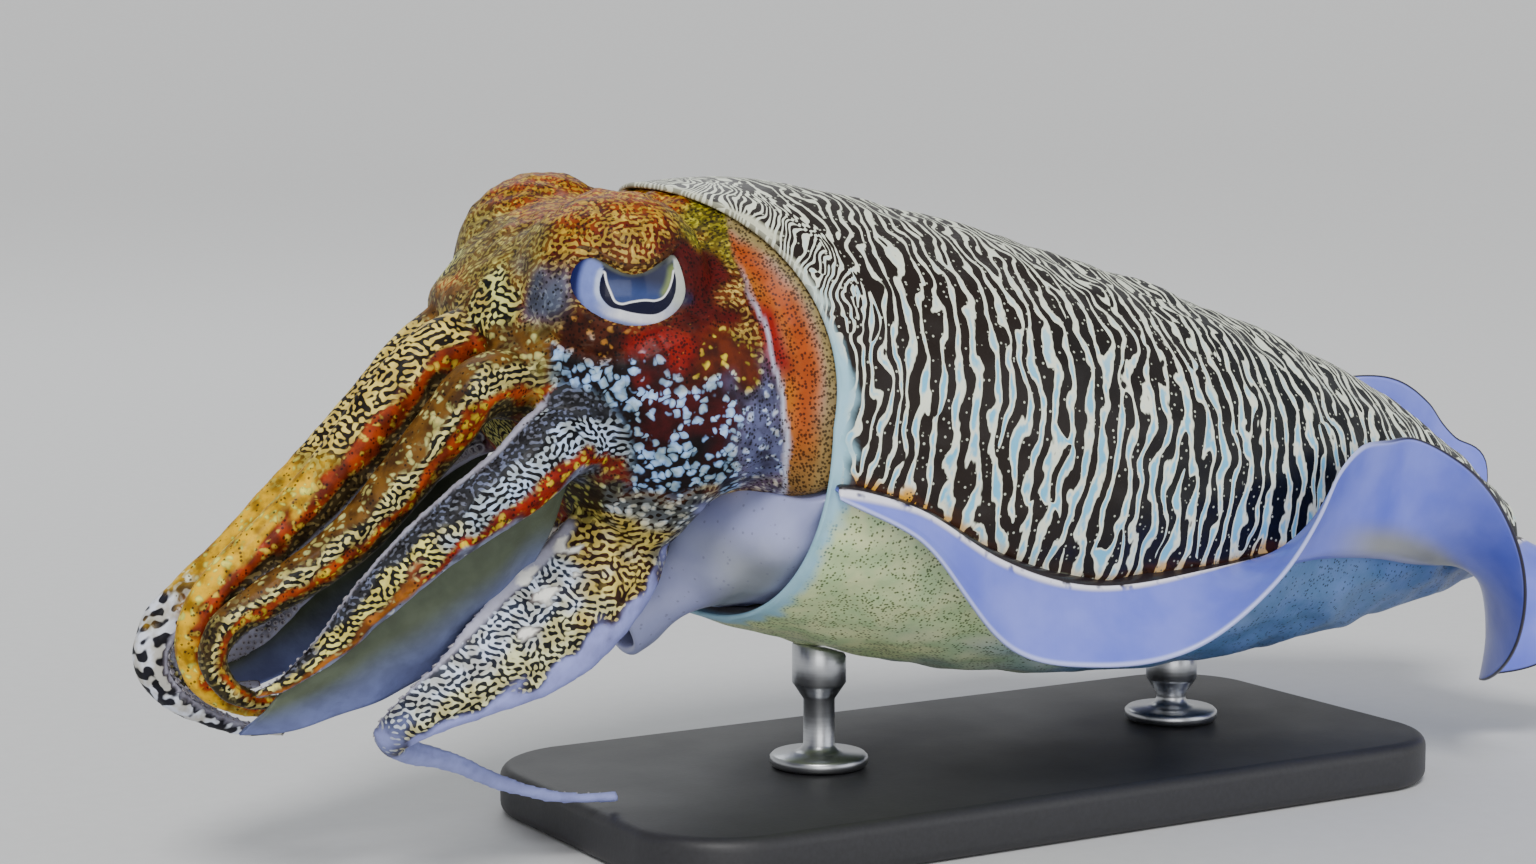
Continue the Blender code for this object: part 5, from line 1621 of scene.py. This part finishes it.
    def paint_neck(self, layer: Layer, places: Array, body: Array, mantle: Mantle) -> None:
        """Lays the bands behind the head's fold, by the chart and by the distance to the free edge.

        Args:
            layer: the skin's colours so far.
            places: the vertices' places in the world.
            body: their places in the animal's frame.
            mantle: the mantle, for its free edge.
        """
        angle = np.arctan2(body[:, 2], body[:, 1])
        ahead = (mantle.front(angle) - body[:, 0]) * MM
        a, b = SidePlane().read(places)
        past = a + 0.5 * ripples(places, 0.01, 41) - through(self.fold, b)
        past = past - 9.0 * fall(body[:, 0], -0.022, -0.01)
        neck, low = ramp(past, -0.5, 0.5), fall(b, -30.0, -14.0)
        orange = between(ahead + 0.6 * ripples(places, 0.012, 42), 2.4, 9.5, 2.6) * ramp(b, -36.0, -20.0)
        deep = between(ahead, 2.6, 6.4, 1.6)
        red = between(past, -1.0, 4.0, 1.6) * between(b, -16.0, -2.0, 3.0)
        by_edge = neck * fall(ahead, 1.0, 2.6) * (1 - 0.5 * low)
        line = between(past, -0.2, 0.7, 0.35) * between(b, -44.0, 2.0, 4.0)
        flap = ramp(a, 14.0, 16.5) * fall(b, -41.0, -38.0)
        for mask, *lays in (
            (neck, (176, 150, 140), (212, 190, 172), 0.0, 1.0, 0.75, 0.0),
            (neck * low, (140, 102, 52), (160, 150, 90), 0.0, 1.0, 0.8, 0.0),
            (neck * orange, (176, 100, 20), (226, 120, 60), 0.0, 1.0, 0.7, 0.0),
            (neck * orange * deep, (172, 70, 0), (226, 120, 60), 0.0, 1.0, 0.5, 0.0),
            (red, (140, 20, 12), (206, 90, 60), 0.0, 1.0, 0.3, 0.0),
            (by_edge, (150, 132, 84), (220, 216, 180), 0.0, 1.0, 0.7),
            (line, (188, 192, 214), (220, 222, 236), 0.0, 1.0, 0.1),
            (flap, (158, 164, 214), (206, 208, 238), 0.0, 1.0, 0.0, 0.0),
        ):
            layer.lay(mask, *lays)

    def arm_places(self, body: Array, arms: Arms) -> dict[str, Array]:
        """Finds, for each vertex, the nearest arm and its place along and round that arm.

        Formula: the nearest centre-line sample is the one with the least distance less the arm's
        half width there. "high" is the offset's share along the line's upward normal, and "oral"
        its share away from the outer side.

        Args:
            body: places in the animal's frame.
            arms: the arms' shapes.

        Returns:
            Number, side, share of length, high, oral and the distance over the half width.
        """
        found = []
        for number in NUMBERS:
            for side in (LEFT, RIGHT):
                line, out, _, share = arms.frames(number, side, self.samples)
                ahead = unit(np.gradient(line, axis=0))
                top = unit(np.stack([ahead[:, 2], 0 * ahead[:, 0], -ahead[:, 0]], axis=-1))
                shape = arms.shapes[number - 1]
                girth = (shape.width(share) + shape.depth(share)) / 2
                same = np.ones(self.samples)
                found.append((line, out, top, girth, share, same * number, same * side))
        line, out, top, girth, share, number, side = (np.concatenate(parts) for parts in zip(*found))
        best = np.empty(len(body), int)
        for start in range(0, len(body), 8000):
            block = body[start : start + 8000]
            squared = (block**2).sum(1)[:, None] + (line**2).sum(1)[None] - 2 * block @ line.T
            best[start : start + 8000] = np.argmin(np.sqrt(np.maximum(squared, 0.0)) - girth[None], axis=1)
        offset = (body - line[best]) / girth[best][:, None]
        return {
            "number": number[best], "side": side[best], "share": share[best],
            "high": np.sum(offset * top[best], axis=1), "oral": -np.sum(offset * out[best], axis=1),
            "reach": np.linalg.norm(offset, axis=1),
        }

    def groove(self, obj: Piece, at: dict[str, Array]) -> None:
        """Cuts shallow grooves along the arms between their lanes of colour.

        Formula: the depth is a bell over the distance from each groove's place across the arm.

        Args:
            obj: the skin's piece.
            at: each vertex's place along and round its arm.
        """
        depth = np.zeros(len(at["high"]))
        for number, middle, width, deepest in self.grooves:
            bell = np.exp(-(((at["high"] - middle) / width) ** 2))
            depth = depth + deepest / MM * bell * (at["number"] == number)
        there = ramp(at["share"], 0.08, 0.2) * fall(at["share"], 0.8, 0.95) * fall(at["reach"], 1.4, 1.7)
        push_out(obj, -depth * there * fall(at["oral"], 0.3, 0.6))

    def paint_arms(self, layer: Layer, body: Array, at: dict[str, Array]) -> None:
        """Lays the lanes of colour that run along each arm.

        Args:
            layer: the skin's colours so far.
            body: places in the animal's frame.
            at: each vertex's place along and round its arm.
        """
        high = at["high"] + 0.13 * ripples(body, 0.005, 51)
        share = at["share"] + 0.02 * ripples(body, 0.006, 52)
        on_arm = ramp(share, 0.06, 0.14) * fall(at["reach"], 1.45, 1.8)
        for number, lanes in ARM_LANES.items():
            for lane in lanes:
                mask = on_arm * (at["number"] == number)
                mask = mask * between(high, *lane.first, lane.soft) * between(share, *lane.second, 0.05)
                if lane.right_only:
                    mask = mask * (at["side"] == RIGHT)
                layer.lay(mask, *lane.lays)
        inner = on_arm * ramp(at["oral"] - 0.25 * (at["number"] == 4), 0.6, 0.74) * ramp(share, 0.1, 0.2)
        layer.lay(inner, (176, 176, 196), (206, 208, 222), 0.0, 0.5, 0.0)


def smooth(obj: Piece, times: int) -> None:
    """Evens out a mesh without shrinking it.

    Formula: each vertex moves 0.5 of the way to its neighbours' mean, and then 0.53 of the way
    back along the same kind of step, the given number of times.

    Args:
        obj: the piece.
        times: how often both steps are taken.
    """
    edges = np.empty(len(obj.data.edges) * 2, np.int32)
    obj.data.edges.foreach_get("vertices", edges)
    ends = edges.reshape(-1, 2)
    ends = np.concatenate([ends, ends[:, ::-1]])
    places = vertices(obj)
    count = len(places)
    degree = np.bincount(ends[:, 0], minlength=count)[:, None]
    for step in (0.5, -0.53) * times:
        total = np.column_stack([np.bincount(ends[:, 0], places[ends[:, 1], k], count) for k in range(3)])
        places = places + step * (total / degree - places)
    set_vertices(obj, places)


@dataclass(frozen=True)
class Suckers:
    """Four staggered rows of small cups along each arm's oral side.

    The profile runs from a cup's root over its rim into its hollow: shares of its radius out
    from its axis and up it.
    """

    along: int = 44
    start: float = 0.13
    end: float = 0.985
    girth: float = 0.19
    least: float = 0.00022
    vary: float = 0.12
    sides: int = 8
    lanes: tuple = ((-0.42, 0.16), (-0.16, 0.42))
    profile: tuple = ((0.55, -0.9), (0.6, 0.1), (1.0, 0.55), (0.95, 0.9), (0.62, 0.85), (0.35, 0.45))
    cup: float = 0.35

    def build(self, arms: Arms, side: int) -> Piece:
        """Makes one side's suckers as one piece.

        Formula: each sucker is its profile turned about an axis that stands on the oral side; its
        radius is a share of the arm's half width there.

        Args:
            arms: the arms' shapes.
            side: left or right.

        Returns:
            The suckers' piece.
        """
        cups = []
        seat = self.start + (self.end - self.start) * (np.arange(self.along * 2) + 0.5) / (self.along * 2)
        for number in NUMBERS:
            shape = arms.shapes[number - 1]
            line, out, across, shares = arms.frames(number, side, 400)
            draw = np.random.default_rng(10 * number + side)
            for pair, lanes in enumerate(self.lanes):
                at = seat[pair::2]
                i = np.searchsorted(shares, at)
                depth, width = shape.depth(at, arms.least), shape.width(at, arms.least)
                for lane in lanes:
                    vary = 1 + self.vary * draw.uniform(-1, 1, len(at))
                    radius = np.maximum(width * self.girth, self.least) * vary
                    drop = -(0.7 + 0.16 * abs(lane) / 0.55) * depth
                    root = line[i] + out[i] * drop[:, None] + across[i] * (width * lane * 1.15)[:, None]
                    cups.append((root, unit(-out[i] + across[i] * 0.5 * lane), radius[:, None]))
        root, axis, radius = (np.concatenate(parts) for parts in zip(*cups))
        first = unit(np.cross(axis, np.array([0.0, 1.0, 0.0])))
        spokes = spokes_round(turns(self.sides), first, np.cross(axis, first))
        r, h = np.array(self.profile).T
        rings = (root[:, None, None] + axis[:, None, None] * (radius * h)[:, :, None, None]
                 + spokes[:, None] * (radius * r)[:, :, None, None])
        count, levels = rings.shape[:2]
        ends = [(root + axis * radius * height)[:, None] for height in (h[0], self.cup)]
        points = np.concatenate([rings.reshape(count, -1, 3), *ends], axis=1)
        steps = (np.arange(count) * points.shape[1])[:, None, None]
        one = closed_faces(levels, self.sides)
        faces = [(block[None] + steps).reshape(-1, block.shape[1]) for block in one]
        obj = make_object(f"suckers_{SIDE_WORDS[side]}", POSTURE.world(points), faces)
        hollow = np.append(np.repeat(np.arange(levels) >= levels - 1, self.sides), [False, True])
        store(obj, "cup", np.tile(hollow, count).astype(float))
        return obj


@dataclass(frozen=True)
class SuckerFinish:
    """Pale horn-ringed cups with darker hollows."""

    rim: tuple = (176, 172, 176)
    hollow: tuple = (104, 92, 104)

    def make(self, groups: SkinGroups) -> Material:
        """Mixes rim and hollow by the vertices' mask, with a little mottling."""
        g = SkinGraph("suckers", groups, 0.35, 0.25)
        at = g.place()
        colour = g.mix(g.stored("cup"), self.rim, self.hollow)
        colour = g.mix(g.noise(at, 1 / 0.002, 2.0), colour, g.times(colour, (190, 190, 205)))
        return g.done(colour, g.relief(at, 0.0004, 0.0012, 0.5), 0.25, 0.0002)


# The eyes


@dataclass(frozen=True)
class EyeFinish:
    """The eye's painted colours, with the pupil and its pale inner edge cut sharply by distance."""

    pale: tuple = (252, 253, 255)
    dark: tuple = (4, 5, 40)

    def make(self, groups: SkinGroups) -> Material:
        """Lays the pupil and its edge over the colours stored at the vertices."""
        g = SkinGraph("eye", groups, 0.14, 0.15, 0.03, 0.2)
        # The stored eye colours include painted shade by the lids and a painted highlight under the pupil.
        iris, gap = g.stored("colour_iris_and_painted_light", "Color"), g.stored("pupil")
        colour = g.mix(g.noise(g.place(), 1 / 0.0014, 3.0), g.times(iris, (212, 214, 222)), iris)
        colour = g.mix(g.product(g.stored("within"), g.fall(gap, 0.00018, 0.0005)), colour, self.pale)
        return g.done(g.mix(g.fall(gap, -0.00008, 0.00012), colour, self.dark))


@dataclass(frozen=True)
class Eyes:
    """The eyeballs, each a ball whose rings stand round the eye's axis.

    The pupil is a run of places towards the tail and up with half widths, in millimetres, and
    curves round its middle.
    """

    rings: int = 112
    columns: int = 160
    pupil: tuple = (
        (-5.8, 1.4, 0.15), (-5.6, -0.3, 0.5), (-4.9, -2.1, 0.8), (-3.4, -3.7, 0.55), (-1.6, -4.0, 0.42),
        (0.4, -3.7, 0.85), (2.6, -3.3, 1.15), (4.8, -2.9, 1.1), (6.6, -1.6, 0.9), (7.5, 0.4, 0.7),
        (7.7, 2.4, 0.42), (7.5, 4.2, 0.1),
    )
    middle: tuple = (1.2, 3.0)
    steps: int = 60
    crowding: float = 1.35

    def chain(self, flat: Array) -> tuple[Array, Array, Array]:
        """Distance outside the pupil, and where along and on which side of it a point lies.

        Formula: the least, over points of a smooth run through the given ones, of the distance
        less the half width there. A point is within the curve where its offset from the nearest
        point looks to the curve's own middle.

        Args:
            flat: millimetres towards the tail and up.

        Returns:
            Metres, negative inside, then the share of the way, then 1 within the curve and 0 outside.
        """
        run = run_through(self.pupil, self.steps)
        away = flat[:, None] - run[:, :2]
        gaps = np.linalg.norm(away, axis=2) - run[:, 2]
        best = np.argmin(gaps, axis=1)
        inwards = unit(np.array(self.middle) - run[best, :2])
        within = ramp(np.sum(away[np.arange(len(flat)), best] * inwards, axis=1), -0.15, 0.15)
        return gaps.min(axis=1) / MM, best / (self.steps - 1), within

    def build(self, lids: Lids, side: int) -> Piece:
        """Makes one eyeball, its rings closer together in front.

        Args:
            lids: the opening, along whose outline painted shade is laid on the ball.
            side: left or right.

        Returns:
            The eye's piece, with the distances that its finish reads.
        """
        turn = math.pi * np.linspace(0.0, 1.0, self.rings + 2)[1:-1, None] ** self.crowding
        angle = turns(self.columns)
        rings = np.stack([np.sin(turn) * np.cos(angle), np.sin(turn) * np.sin(angle),
                          np.cos(turn) + 0 * angle], axis=-1) * POSE.eye_radius
        ends = np.array([[0.0, 0.0, 1.0], [0.0, 0.0, -1.0]]) * POSE.eye_radius
        obj = loft(f"eye_ball_{SIDE_WORDS[side]}", POSE.placed(rings, side), POSE.placed(ends, side))
        local = np.concatenate([rings.reshape(-1, 3), ends])
        gap, share, within = self.chain(local[:, :2] * MM)
        gap = np.where(local[:, 2] < 0, 0.02, gap)
        edge = lids.inside(local)
        out = 1 - within
        middle = between(share, 0.28, 0.72, 0.1)
        left, right = fall(share, 0.14, 0.32), ramp(share, 0.66, 0.8)
        layer = Layer(len(local))
        for mask, colour in (
            (1.0, (56, 74, 126)),
            # Painted shade: darker towards the top inside the pupil's curve, under the upper lid.
            (within * ramp(local[:, 1], -0.0015, 0.0025), (34, 38, 66)),
            (within * right * fall(gap, 0.0006, 0.002), (128, 142, 84)),
            (out, (126, 142, 212)),
            (out * right, (214, 220, 206)),
            # Painted highlight: a near-white crescent just below the middle of the pupil.
            (out * fall(gap, 0.0012, 0.0022) * middle, (250, 251, 255)),
            (out * fall(gap, 0.0004, 0.0012) * left, (206, 220, 250)),
            (out * ramp(gap, 0.0018, 0.0028) * middle, (126, 134, 126)),
            # Painted shade: dark navy in the eye's front corner.
            (out * ramp(gap, 0.0028, 0.004) * left, (16, 22, 84)),
            (out * ramp(gap, 0.0022, 0.0028) * right, (26, 22, 50)),
            # Painted shade: a grey band along the inside of the lids' outline.
            (fall(edge, 0.0004, 0.0014), (104, 108, 96)),
            (right * ramp(local[:, 0], 0.005, 0.007) * fall(edge, 0.0012, 0.002), (150, 154, 140)),
        ):
            layer.lay(mask, colour)
        store_masks(obj, {"pupil": gap, "within": within}, ())
        store(obj, "colour_iris_and_painted_light", layer.ground)
        return obj


# The funnel


@dataclass(frozen=True)
class FunnelFinish:
    """Smooth lilac-grey skin, with olive-coloured painted shade low down near the head and painted shade deep
    in the bore.
    """

    def make(self, groups: SkinGroups) -> Material:
        """Mixes the funnel's colours by the vertices' masks, with faint mottling."""
        g = SkinGraph("funnel skin", groups, 0.34, 0.15, 0.15)
        at = g.place()
        colour = g.mix(g.noise(at, 1 / 0.01, 4.0), (136, 142, 196), (184, 190, 226))
        # Painted shade, olive-coloured, on the funnel's lower side near the head.
        colour = g.mix(g.stored("olive_and_shade"), colour, (128, 134, 104))
        # Painted shade: darker deeper inside the bore.
        colour = g.mix(g.stored("bore"), colour, (70, 66, 96))
        colour = g.mix(g.product(g.specks(at, 0.0009, 0.1, 0.3), 0.4), colour, (96, 92, 120))
        return g.done(colour, g.relief(at, 0.0009, 0.006, 0.7), 0.25, 0.0005)


@dataclass(frozen=True)
class Funnel:
    """The funnel: a wide root under the neck that narrows to a round, hollow spout.

    Sections are as section_ring reads them.
    """

    sections: tuple = (
        (35.7, -12, 0, 39, 6, 23.5), (29, -15, 6, 38.5, 10, 20.5), (22, -21.5, 18, 35, 13, 16),
        (18.5, -31, 34, 24, 11, 11.5), (16, -39.5, 44, 11.5, 7.6, 8.6), (12, -44, 40, 8.5, 7.8, 7.8),
    )
    wall: float = 0.0013
    bore: float = 0.011
    rings: int = 72
    columns: int = 120

    def build(self, mantle: Mantle) -> Piece:
        """Makes the outside, the rounded lip and the bore as one surface.

        Args:
            mantle: the mantle, whose opening the funnel's root fills.

        Returns:
            The funnel's piece, with its masks.
        """
        sections = run_through(self.sections, self.rings)
        outside = mantle.fill(np.array([section_ring(s, self.columns, 2.0) for s in sections]), 0.36)
        tip = self.sections[-1]
        back = tilted(tip[2])[1]
        turn, depth = np.linspace(0.0, math.pi, 9)[1:-1], np.linspace(0.0, 1.0, 14)
        inset = self.wall * np.append((1 - np.cos(turn)) / 2, 1 + 0.8 * depth**2)
        place = np.append(-0.5 * self.wall * np.sin(turn), self.bore * depth)
        inside = [section_ring(tip, self.columns, 2.0, -i) + back * p for i, p in zip(inset, place)]
        rings = np.concatenate([outside, np.array(inside)])
        obj = loft("funnel_skin", POSTURE.world(rings))
        level = np.append(np.repeat(np.arange(len(rings)), self.columns), [0, len(rings) - 1])
        body = POSTURE.body(vertices(obj))
        # Where the olive-coloured painted shade lies: low on the funnel's middle rings.
        olive_and_shade = between(level, self.rings * 0.25, self.rings * 0.6, 8.0) * ramp(-body[:, 2], 0.02, 0.03)
        # Painted shade that darkens the bore deeper in.
        bore = ramp(level, self.rings + 7.0, self.rings + 14.0)
        store_masks(obj, {"bore": bore, "olive_and_shade": 0.6 * olive_and_shade}, ())
        push_out(obj, 0.0003 * ripples(body, 0.012, 61))
        return obj


@dataclass(frozen=True)
class Webs:
    """The thin skin between the third and fourth arms, on both sides.

    The margin's places are along and up in the animal's frame, in millimetres.
    """

    margin: tuple = (
        (-18.3, -39.1), (-25.2, -46.3), (-29.3, -51.4), (-34.4, -56.5), (-40.6, -60.8), (-47.8, -64.2),
        (-55.0, -67.5), (-62.3, -69.6), (-67.8, -70.4),
    )
    margin_side: float = 0.018
    reach: tuple = (0.1, 0.93)
    sunk: float = 0.4
    bow: float = 0.0012
    fold: float = 0.0005
    thickness: float = 0.0006
    rows: int = 110
    strips: int = 34

    def build(self, arms: Arms, side: int) -> Piece:
        """Makes one web.

        Formula: rows run evenly from the third arm's lower edge to the margin, bowed outwards as
        the sine of the share of the way, with small folds as a sine across it.

        Args:
            arms: the arms' shapes.
            side: left or right.

        Returns:
            The web's piece.
        """
        line, _, _, shares = arms.frames(3, side, 300)
        at = np.linspace(*self.reach, self.rows)
        i = np.searchsorted(shares, at)
        ahead = unit(np.gradient(line, axis=0))[i]
        down = -unit(np.stack([ahead[:, 2], 0 * at, -ahead[:, 0]], axis=-1))
        upper = line[i] + down * (arms.shapes[2].width(at) * self.sunk)[:, None]
        x, z = np.array(self.margin).T / MM
        edge, _ = route_line(np.column_stack([x, np.full(len(x), side * self.margin_side), z]), self.rows)
        share = np.linspace(0.0, 1.0, self.strips)
        bow = self.bow * np.sin(share * math.pi) + self.fold * np.sin(share * 9 + at[:, None] * 30)
        sheet = upper[:, None] + (edge - upper)[:, None] * share[:, None]
        sheet = sheet + bow[..., None] * np.array([0.0, float(side), 0.0])
        up = unit(np.cross(np.gradient(sheet, axis=0), np.gradient(sheet, axis=1)))
        rings = sheet_rings(sheet, up * self.thickness / 2)
        obj = loft(f"web_{SIDE_WORDS[side]}", POSTURE.world(rings))
        low = np.append(np.broadcast_to(both_faces(share[None]), rings.shape[:2]).ravel(), [0.5, 0.5])
        layer = Layer(len(low))
        layer.lay(1.0, (86, 94, 78), (170, 180, 190), 0.0, 0.6, 0.0, 0.3)
        layer.lay(ramp(low, 0.4, 0.98), (112, 122, 172), (190, 196, 226), 0.0, 0.6, 0.0)
        layer.keep(obj)
        return obj


# The stand


@dataclass(frozen=True)
class StandFinish:
    """Matt black stone-like board with fine grain."""

    def make(self, groups: SkinGroups) -> Material:
        """Mixes two near-blacks by fine grain, with faint scuffs in the roughness."""
        g = SkinGraph("stand board", groups, 0.5)
        at = g.place()
        grain = g.noise(at, 1 / 0.0008, 4.0)
        rough = g.scaled(g.noise(at, 1 / 0.02, 4.0), 0.42, 0.6)
        g.tree.links.new(rough, g.shader.inputs["Roughness"])
        return g.done(g.mix(grain, (30, 30, 33), (46, 46, 50)), grain, 0.15, 0.0002)


@dataclass(frozen=True)
class RodFinish:
    """Brushed steel: fine rings round the rod in the bump and the roughness."""

    stretch: tuple = (1.0, 1.0, 40.0)

    def make(self, groups: SkinGroups) -> Material:
        """Reads stretched noise for the brushing."""
        g = SkinGraph("rod steel", groups, 0.3, metallic=1.0)
        inputs = {"Vector": g.place(), "Scale": self.stretch}
        brush = g.noise(g.node("ShaderNodeMapping", {}, inputs).outputs[0], 1 / 0.02, 3.0)
        g.tree.links.new(g.scaled(brush, 0.22, 0.4), g.shader.inputs["Roughness"])
        return g.done(g.mix(brush, (170, 172, 176), (200, 202, 206)), brush, 0.08, 0.0002)


@dataclass(frozen=True)
class Stand:
    """The display stand: a flat board, and two rods with round feet and soft-edged pads."""

    length: float = 0.19
    width: float = 0.092
    height: float = 0.01
    corner: float = 0.02
    ease: float = 0.0025
    rods: tuple = (("stand_rod_front", -0.038), ("stand_rod_rear", 0.052))
    gap: float = 0.0003
    radius: float = 0.0032
    foot: float = 0.01
    foot_height: float = 0.0025
    pad: float = 0.0055
    pad_height: float = 0.012
    edge: float = 0.0006
    near: float = 0.012
    columns: int = 72
    board_columns: int = 128

    def board(self) -> Piece:
        """Makes the board.

        Formula: a rounded rectangle, drawn in by the ease's quarter circle at its upper and lower
        edges.

        Returns:
            The board's piece.
        """
        angle = turns(self.board_columns)
        c, s = np.cos(angle), np.sin(angle)
        corner_x = np.sign(c) * (self.length / 2 - self.corner)
        corner_y = np.sign(s) * (self.width / 2 - self.corner)
        turn = np.linspace(0.0, math.pi / 2, 7)
        low = [(self.ease * (1 - math.sin(t)), self.ease * (1 - math.cos(t))) for t in turn]
        high = [(inset, self.height - lift) for inset, lift in low[::-1]]
        rings = [np.stack([corner_x + (self.corner - inset) * c, corner_y + (self.corner - inset) * s,
                           z + 0 * angle], axis=-1) for inset, z in [*low, *high]]
        return loft("stand_board", np.array(rings))

    def rod(self, name: str, x: float, mantle: Mantle) -> Piece:
        """Makes one rod: a profile turned about its axis, its top fitted to the belly.

        Args:
            name: the solid that it stands for.
            x: its place along the board.
            mantle: the mantle that the pad's top follows.

        Returns:
            The rod's piece.
        """
        angle = turns(self.columns)
        body_x, body_angle = np.linspace(0.02, 0.2, 400)[:, None], np.linspace(4.2, 5.2, 200)[None]
        belly = POSTURE.world(mantle.point(body_x + 0 * body_angle, body_angle + 0 * body_x)).reshape(-1, 3)
        belly = belly[np.abs(belly[:, :2] - (x, 0.0)).max(axis=1) < self.near]

        def ring(radius: float, z: float | Array) -> Array:
            """A ring about the rod's axis at the given height."""
            return np.column_stack([x + radius * np.cos(angle), radius * np.sin(angle), z + 0 * angle])

        def under(radius: float) -> Array:
            """Height of the belly over a ring of that radius, less the gap."""
            near = np.linalg.norm(ring(radius, 0.0)[:, None, :2] - belly[None, :, :2], axis=-1)
            return belly[np.argmin(near, axis=1), 2] - self.gap * 1.5

        bottom = self.height + self.gap
        top = bottom + self.foot_height
        shoulder = under(self.pad).min() - self.pad_height + 0.006
        foot, stem, pad, edge = self.foot, self.radius, self.pad, self.edge
        profile = (
            (foot - edge, bottom), (foot, bottom + edge), (foot, top - edge), (foot - edge, top),
            (stem + 0.002, top + 0.0002), (stem + 0.0007, top + 0.0008), (stem, top + 0.002),
            (stem, shoulder - 0.003), (stem + 0.0008, shoulder - 0.0018), (pad - 0.0005, shoulder - 0.0003),
            (pad, shoulder + 0.0004), (pad, under(pad) - edge),
        )
        tops = [(radius, under(radius)) for radius in (pad - 0.0004, pad * 0.6, pad * 0.25)]
        return loft(f"{name}_steel", np.array([ring(radius, z) for radius, z in (*profile, *tops)]))


# The studio


@dataclass(frozen=True)
class Studio:
    """A pale floor, soft lights and the camera."""

    target: tuple = (-0.05, 0.0, 0.079)
    azimuth: float = math.radians(-30.5)
    elevation: float = math.radians(6.5)
    distance: float = 0.6
    lens: float = 70.78
    sensor: float = 36.0
    floor_radius: float = 5.0
    flat_radius: float = 1.2
    floor_rings: int = 24
    floor_columns: int = 96
    sweep: float = 1.2
    softness: float = 0.35

    def camera(self) -> None:
        """Places the camera at the photograph's viewing angle, looking at the target."""
        data = bpy.data.cameras.new("camera")
        data.lens = self.lens
        data.sensor_width = self.sensor
        data.clip_start = 0.01
        camera = link("camera", data)
        a, e = self.azimuth, self.elevation
        away = Vector((math.sin(a) * math.cos(e), -math.cos(a) * math.cos(e), math.sin(e)))
        camera.location = Vector(self.target) + away * self.distance
        camera.rotation_euler = away.to_track_quat("Z", "Y").to_euler()
        bpy.context.scene.camera = camera

    def light(self, name: str, place: tuple, power: float, colour: tuple, size: float = 0.0) -> None:
        """Adds a soft light: a square one that looks at the animal, or the sun where it has no size.

        Args:
            name: the light's name.
            place: where it stands, or the direction that the sun comes from.
            power: its strength.
            colour: its colour.
            size: the square's side.
        """
        data = bpy.data.lights.new(name, "AREA" if size else "SUN")
        data.energy = power
        data.color = colour
        light = link(name, data)
        away = Vector(place)
        if size:
            data.size = size
            light.location = place
            away = away - Vector(self.target)
        else:
            data.angle = self.softness
        light.rotation_euler = away.to_track_quat("Z", "Y").to_euler()

    def build(self) -> None:
        """Makes the floor, which rises far away, the lights, the pale surroundings and the camera."""
        angle, columns = turns(self.floor_columns), self.floor_columns
        radii = np.linspace(self.floor_radius, 0.3, self.floor_rings)
        out = np.clip((radii - self.flat_radius) / (self.floor_radius - self.flat_radius), 0.0, 1.0)
        rings = np.stack([np.outer(radii, np.cos(angle)), np.outer(radii, np.sin(angle)),
                          np.outer(self.sweep * out**2, np.ones(columns))], axis=-1)
        points = np.concatenate([rings.reshape(-1, 3), np.zeros((1, 3))])
        last = len(points) - 1
        faces = [grid_quads(self.floor_rings, columns), fan(np.arange(last - columns, last), last)]
        floor = make_object("floor", points, faces, closed=False)
        g = SkinGraph("pale floor", None, 0.6)
        grain = g.noise(g.place(), 1 / 0.004, 3.0)
        floor.data.materials.append(g.done(g.mix(grain, (206, 207, 208), (214, 215, 216)), grain, 0.05))
        self.light("key", (-0.55, -0.85, 1.15), 2.3, (1.0, 0.985, 0.96))
        self.light("fill", (0.9, -1.3, 0.35), 6.0, (0.93, 0.96, 1.0), 1.2)
        self.light("low", (-0.55, -1.2, 0.1), 5.0, (1.0, 0.99, 0.97), 0.8)
        self.light("back", (0.3, 1.2, 1.1), 6.0, (0.95, 0.98, 1.0), 0.9)
        world = bpy.data.worlds.new("surroundings")
        world.use_nodes = True
        background = world.node_tree.nodes["Background"]
        background.inputs["Color"].default_value = (0.8, 0.81, 0.82, 1.0)
        background.inputs["Strength"].default_value = 0.6
        bpy.context.scene.world = world
        self.camera()


def main() -> None:
    logging.basicConfig(level=logging.INFO, format="%(name)s: %(message)s")
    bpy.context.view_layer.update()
    groups = SkinGroups()
    mantle, fins, arms, lids, head, stand = Mantle(), Fins(), Arms(), Lids(), HeadSkin(), Stand()

    dress(mantle.build(fins), MantleFinish().make(groups), "mantle_skin", "mantle")
    membrane = FinFinish().make(groups)
    for side, word in SIDE_WORDS.items():
        dress(fins.build(mantle, side), membrane, "fin_membrane", f"fin_{word}")

    skin_finish = SkinFinish().make(groups)
    skin = head.build(arms, lids, mantle)
    head.paint(skin, arms, mantle)
    arm_nodes = [f"arm_{n}_{word}_{part}" for n in NUMBERS for word in SIDE_WORDS.values()
                 for part in ("base", "middle", "tip")]
    dress(skin, skin_finish, "head_skin", "head", "neck", *arm_nodes)

    sucker_finish = SuckerFinish().make(groups)
    eye_finish = EyeFinish().make(groups)
    for side, word in SIDE_WORDS.items():
        dress(Suckers().build(arms, side), sucker_finish, "arm_skin")
        dress(lids.build(side), skin_finish, "head_skin")
        dress(Eyes().build(lids, side), eye_finish, "eye", f"eye_{word}")
        dress(Webs().build(arms, side), skin_finish, "arm_skin")

    dress(Funnel().build(mantle), FunnelFinish().make(groups), "funnel_skin", "funnel")
    dress(stand.board(), StandFinish().make(groups), "stand", "stand_base")
    steel = RodFinish().make(groups)
    for name, x in stand.rods:
        dress(stand.rod(name, x, mantle), steel, "rod", name)

    Studio().build()


if __name__ == "__main__":
    main()
